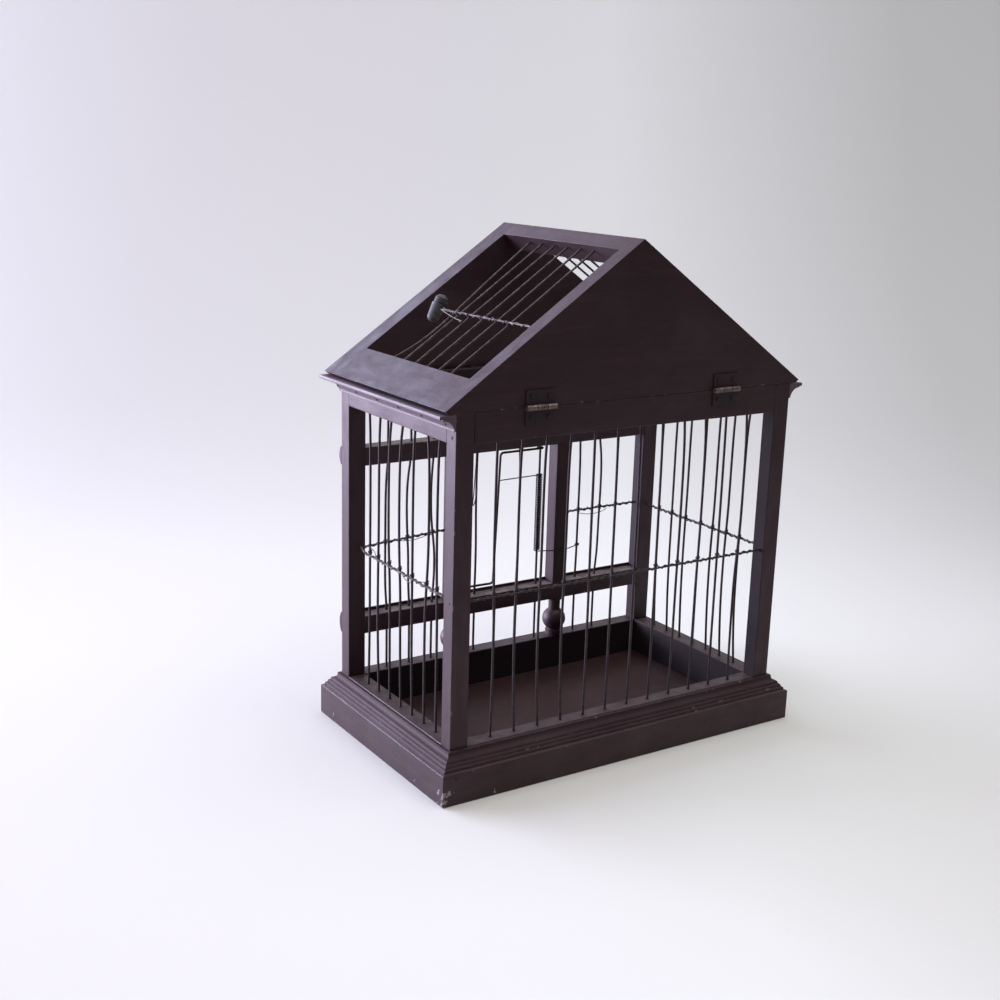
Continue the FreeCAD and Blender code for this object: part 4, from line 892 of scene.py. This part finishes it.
def spring_knot():
    """The end of the spring's tail, turned twice round the back wire."""
    points = []
    middle_x = FRONT_PLACES[9] + 0.8 * MM
    reach = 1.75 * MM
    low = 117.9 * MM
    climb = 2.4 * MM
    steps = 8
    turns = 2.25
    for number in range(int(steps * turns) + 1):
        angle = math.tau * number / steps
        x = middle_x + reach * math.cos(angle)
        y = WALL_Y + reach * math.sin(angle)
        z = low + climb * number / (steps * turns)
        points.append(Vector((x, y, z)))
    piece = wire_curve("spring_knot", [points], SPRING_WIRE_RADIUS, 2)
    finish_piece(piece, SPRING_WIRE, "cage")


def join_rings(shape, rings):
    """Faces between neighbouring rings of corners."""
    for first, second in zip(rings, rings[1:]):
        for step in range(len(first)):
            following = (step + 1) % len(first)
            shape.faces.new((first[step], first[following], second[following], second[step]))


def mesh_piece(name, shape):
    """An object in the scene from a finished shape."""
    mesh = bpy.data.meshes.new(name)
    shape.to_mesh(mesh)
    shape.free()
    piece = bpy.data.objects.new(name, mesh)
    scene.collection.objects.link(piece)
    return piece


def nail_heads(name, places, radius, material):
    """Low domed nail heads as one mesh, from (place, outward direction) pairs."""
    shape = bmesh.new()
    sides = 10
    rings = ((1.0, -0.15), (0.96, 0.10), (0.60, 0.30))
    for place, outward in places:
        normal = Vector(outward).normalized()
        across = normal.orthogonal().normalized()
        along = normal.cross(across)
        circles = []
        for share, rise in rings:
            centre = Vector(place) + normal * (rise * MM)
            circle = []
            for step in range(sides):
                angle = math.tau * step / sides
                spoke = across * math.cos(angle) + along * math.sin(angle)
                circle.append(shape.verts.new(centre + spoke * (share * radius)))
            circles.append(circle)
        join_rings(shape, circles)
        shape.faces.new(circles[-1])
        shape.faces.new(list(reversed(circles[0])))
    finish_piece(mesh_piece(name, shape), material, "cage")


def make_nails():
    """Nail heads in the cornices, the corner posts and the plinth, and a bead at the foot of each wire."""
    cornice = []
    for y in (-78.0, -44.0, -10.0, 24.0, 58.0, 90.0):
        for sign in (-1.0, 1.0):
            cornice.append(((sign * 159.7 * MM, y * MM, 280.2 * MM), (sign * 0.86, 0.0, -0.5)))
    posts = []
    for sign in (-1.0, 1.0):
        posts.append(((sign * 157.0 * MM, -83.2 * MM, 150.0 * MM), (sign, 0.0, 0.0)))
        posts.append(((sign * 157.0 * MM, -83.0 * MM, 271.0 * MM), (sign, 0.0, 0.0)))
        posts.append(((sign * 142.0 * MM, -80.2 * MM, 65.0 * MM), (-sign, 0.0, 0.0)))
        posts.append(((sign * 159.2 * MM, -101.2 * MM, 21.0 * MM), (0.0, -1.0, 0.0)))
    nail_heads("nail_heads", cornice + posts, NAIL_RADIUS, NAIL)
    feet = [(place, -WALL_Y) for place in FRONT_PLACES]
    feet += [(sign * WALL_X, place) for sign in (-1.0, 1.0) for place in SIDE_PLACES]
    feet += [(FRONT_PLACES[number], WALL_Y) for number in (*BACK_LEANS, 5)]
    nail_heads("wire_feet", [((x, y, RAIL_TOP), (0.0, 0.0, 1.0)) for x, y in feet], FOOT_RADIUS, NAIL)


# The gate's spring

SPRING_X = 32.25 * MM
SPRING_LOW = 119.4 * MM
SPRING_HIGH = 189.4 * MM
SPRING_RADIUS = 2.5 * MM
SPRING_TURNS = 46
SPRING_WIRE_RADIUS = 0.5 * MM
SPRING_SIDES = 8
SPRING_STEPS = 20


def spring_path():
    """The tail at the frame, the close turns round the pivot wire and the tail on the gate."""
    foot_plan = [(78.13, 81.37), (70.0, 78.1), (62.0, 74.95), (53.5, 74.95), (45.5, 74.95)]
    head_plan = [(10.0, 78.4), (-12.67, 77.25)]
    foot = [Vector((x * MM, y * MM, SPRING_LOW)) for x, y in foot_plan]
    head = [Vector((x * MM, y * MM, SPRING_HIGH)) for x, y in head_plan]
    coil = []
    total = SPRING_TURNS * SPRING_STEPS
    start_angle = math.radians(-70.0)
    for number in range(total + 1):
        share = number / total
        angle = start_angle - math.tau * SPRING_TURNS * share
        coil.append(Vector((SPRING_X + SPRING_RADIUS * math.cos(angle),
                            WALL_Y + SPRING_RADIUS * math.sin(angle),
                            SPRING_LOW + (SPRING_HIGH - SPRING_LOW) * share)))
    return foot + coil + head


def tube_mesh(name, path, radius, sides):
    """A round tube round a path, with its section carried along without twist."""
    shape = bmesh.new()
    rings = []
    normal = None
    for number, place in enumerate(path):
        before = path[max(number - 1, 0)]
        after = path[min(number + 1, len(path) - 1)]
        ahead = (after - before).normalized()
        if normal is None:
            normal = ahead.orthogonal().normalized()
        normal = (normal - ahead * normal.dot(ahead)).normalized()
        across = ahead.cross(normal)
        ring = []
        for step in range(sides):
            angle = math.tau * step / sides
            offset = normal * math.cos(angle) + across * math.sin(angle)
            ring.append(shape.verts.new(place + offset * radius))
        rings.append(ring)
    join_rings(shape, rings)
    shape.faces.new(list(reversed(rings[0])))
    shape.faces.new(rings[-1])
    piece = mesh_piece(name, shape)
    piece.data.polygons.foreach_set("use_smooth", [True] * len(piece.data.polygons))
    return piece


def make_spring():
    """The spring as one tube between the cage and the gate."""
    piece = tube_mesh("gate_spring", spring_path(), SPRING_WIRE_RADIUS, SPRING_SIDES)
    piece.data.materials.append(SPRING_WIRE)
    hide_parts("door_spring")
    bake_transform(piece)


# Stage and light


def make_floor():
    """A pale paper sweep, square to the view, that turns up behind the cage, with painted shade that
    darkens it towards its sides, most on the right, and towards its back.
    """
    front = -0.55
    bend_start = 0.50
    bend_radius = 0.95
    half_width = 1.7
    bend_steps = 24
    turn = math.radians(-33.0)
    profile = [(front, 0.0), (bend_start, 0.0)]
    for step in range(1, bend_steps + 1):
        angle = math.pi / 2 * step / bend_steps
        profile.append((bend_start + bend_radius * math.sin(angle), bend_radius * (1 - math.cos(angle))))
    mesh = bpy.data.meshes.new("stage")
    verts = [(side * half_width, y, z) for y, z in profile for side in (-1, 1)]
    faces = [(2 * n, 2 * n + 1, 2 * n + 3, 2 * n + 2) for n in range(len(profile) - 1)]
    mesh.from_pydata(verts, [], faces)
    mesh.polygons.foreach_set("use_smooth", [True] * len(mesh.polygons))
    material, tree = new_material("stage_surface")
    across = plus(tree, times(tree, coordinate(tree, "x"), 0.5), 0.5)
    away = plus(tree, times(tree, coordinate(tree, "y"), 0.5), 0.5)
    # Painted shade: the sweep's colour darkens towards its sides and towards its back.
    sideways = ramp(tree, across, [(0.20, (0.60, 0.59, 0.56)), (0.40, (0.643, 0.638, 0.604)),
                                   (0.56, (0.680, 0.692, 0.655)), (0.81, (0.51, 0.52, 0.49))])
    back_shade = fade(tree, away, (0.55, 1.0), (0.95, 0.83))
    surface(tree, mix(tree, 1.0, sideways, back_shade, "MULTIPLY"), 1.0, None, Specular_IOR_Level=0.0)
    stage = bpy.data.objects.new("stage", mesh)
    stage.rotation_euler = (0.0, 0.0, turn)
    stage.data.materials.append(material)
    scene.collection.objects.link(stage)


def add_area(name, place, target, size, power, colour):
    """A rectangular lamp at a place, turned to a target."""
    data = bpy.data.lights.new(name, "AREA")
    data.shape = "RECTANGLE"
    data.size = size[0]
    data.size_y = size[1]
    data.energy = power
    data.color = colour
    lamp = bpy.data.objects.new(name, data)
    lamp.location = place
    lamp.rotation_euler = (Vector(target) - Vector(place)).to_track_quat("-Z", "Y").to_euler()
    scene.collection.objects.link(lamp)


def make_light():
    """A big soft window from the left and behind, a skylight, a lamp overhead and a pale surround."""
    world = bpy.data.worlds.new("surround")
    scene.world = world
    world.use_nodes = True
    tree = world.node_tree
    background = tree.nodes["Background"]
    place = add(tree, "ShaderNodeTexCoord")
    towards = add(tree, "ShaderNodeVectorMath", operation="DOT_PRODUCT")
    towards.inputs[1].default_value = (-0.62, 0.74, 0.26)
    tree.links.new(place.outputs["Generated"], towards.inputs[0])
    share = math_node(tree, "MULTIPLY_ADD", towards.outputs["Value"], 0.5)
    share.node.inputs[2].default_value = 0.5
    glow = ramp(tree, share, [(0.15, (0.075, 0.065, 0.07)), (0.6, (0.38, 0.35, 0.40)),
                              (1.0, (0.8, 0.74, 0.86))])
    tree.links.new(glow, background.inputs["Color"])
    background.inputs["Strength"].default_value = 1.0
    middle = (0.0, 0.0, 0.2)
    tint = (0.89, 0.89, 1.19)
    add_area("window", (-1.95, 2.0, 0.45), middle, (2.4, 0.85), 178.0, tint)
    add_area("skylight", (-0.75, 2.35, 1.75), middle, (2.0, 1.1), 35.0, (0.80, 0.92, 1.28))
    add_area("overhead", (0.4, -0.4, 2.4), (0.2, -0.3, 0.0), (2.6, 2.6), 54.0, (1.0, 0.975, 0.96))


make_camera()
dress_nodes()
wall_wires()
wall_windings()
roof_wires()
roof_windings()
loose_ends()
make_spring()
spring_knot()
make_nails()
make_floor()
make_light()

scene.view_settings.view_transform = "Standard"
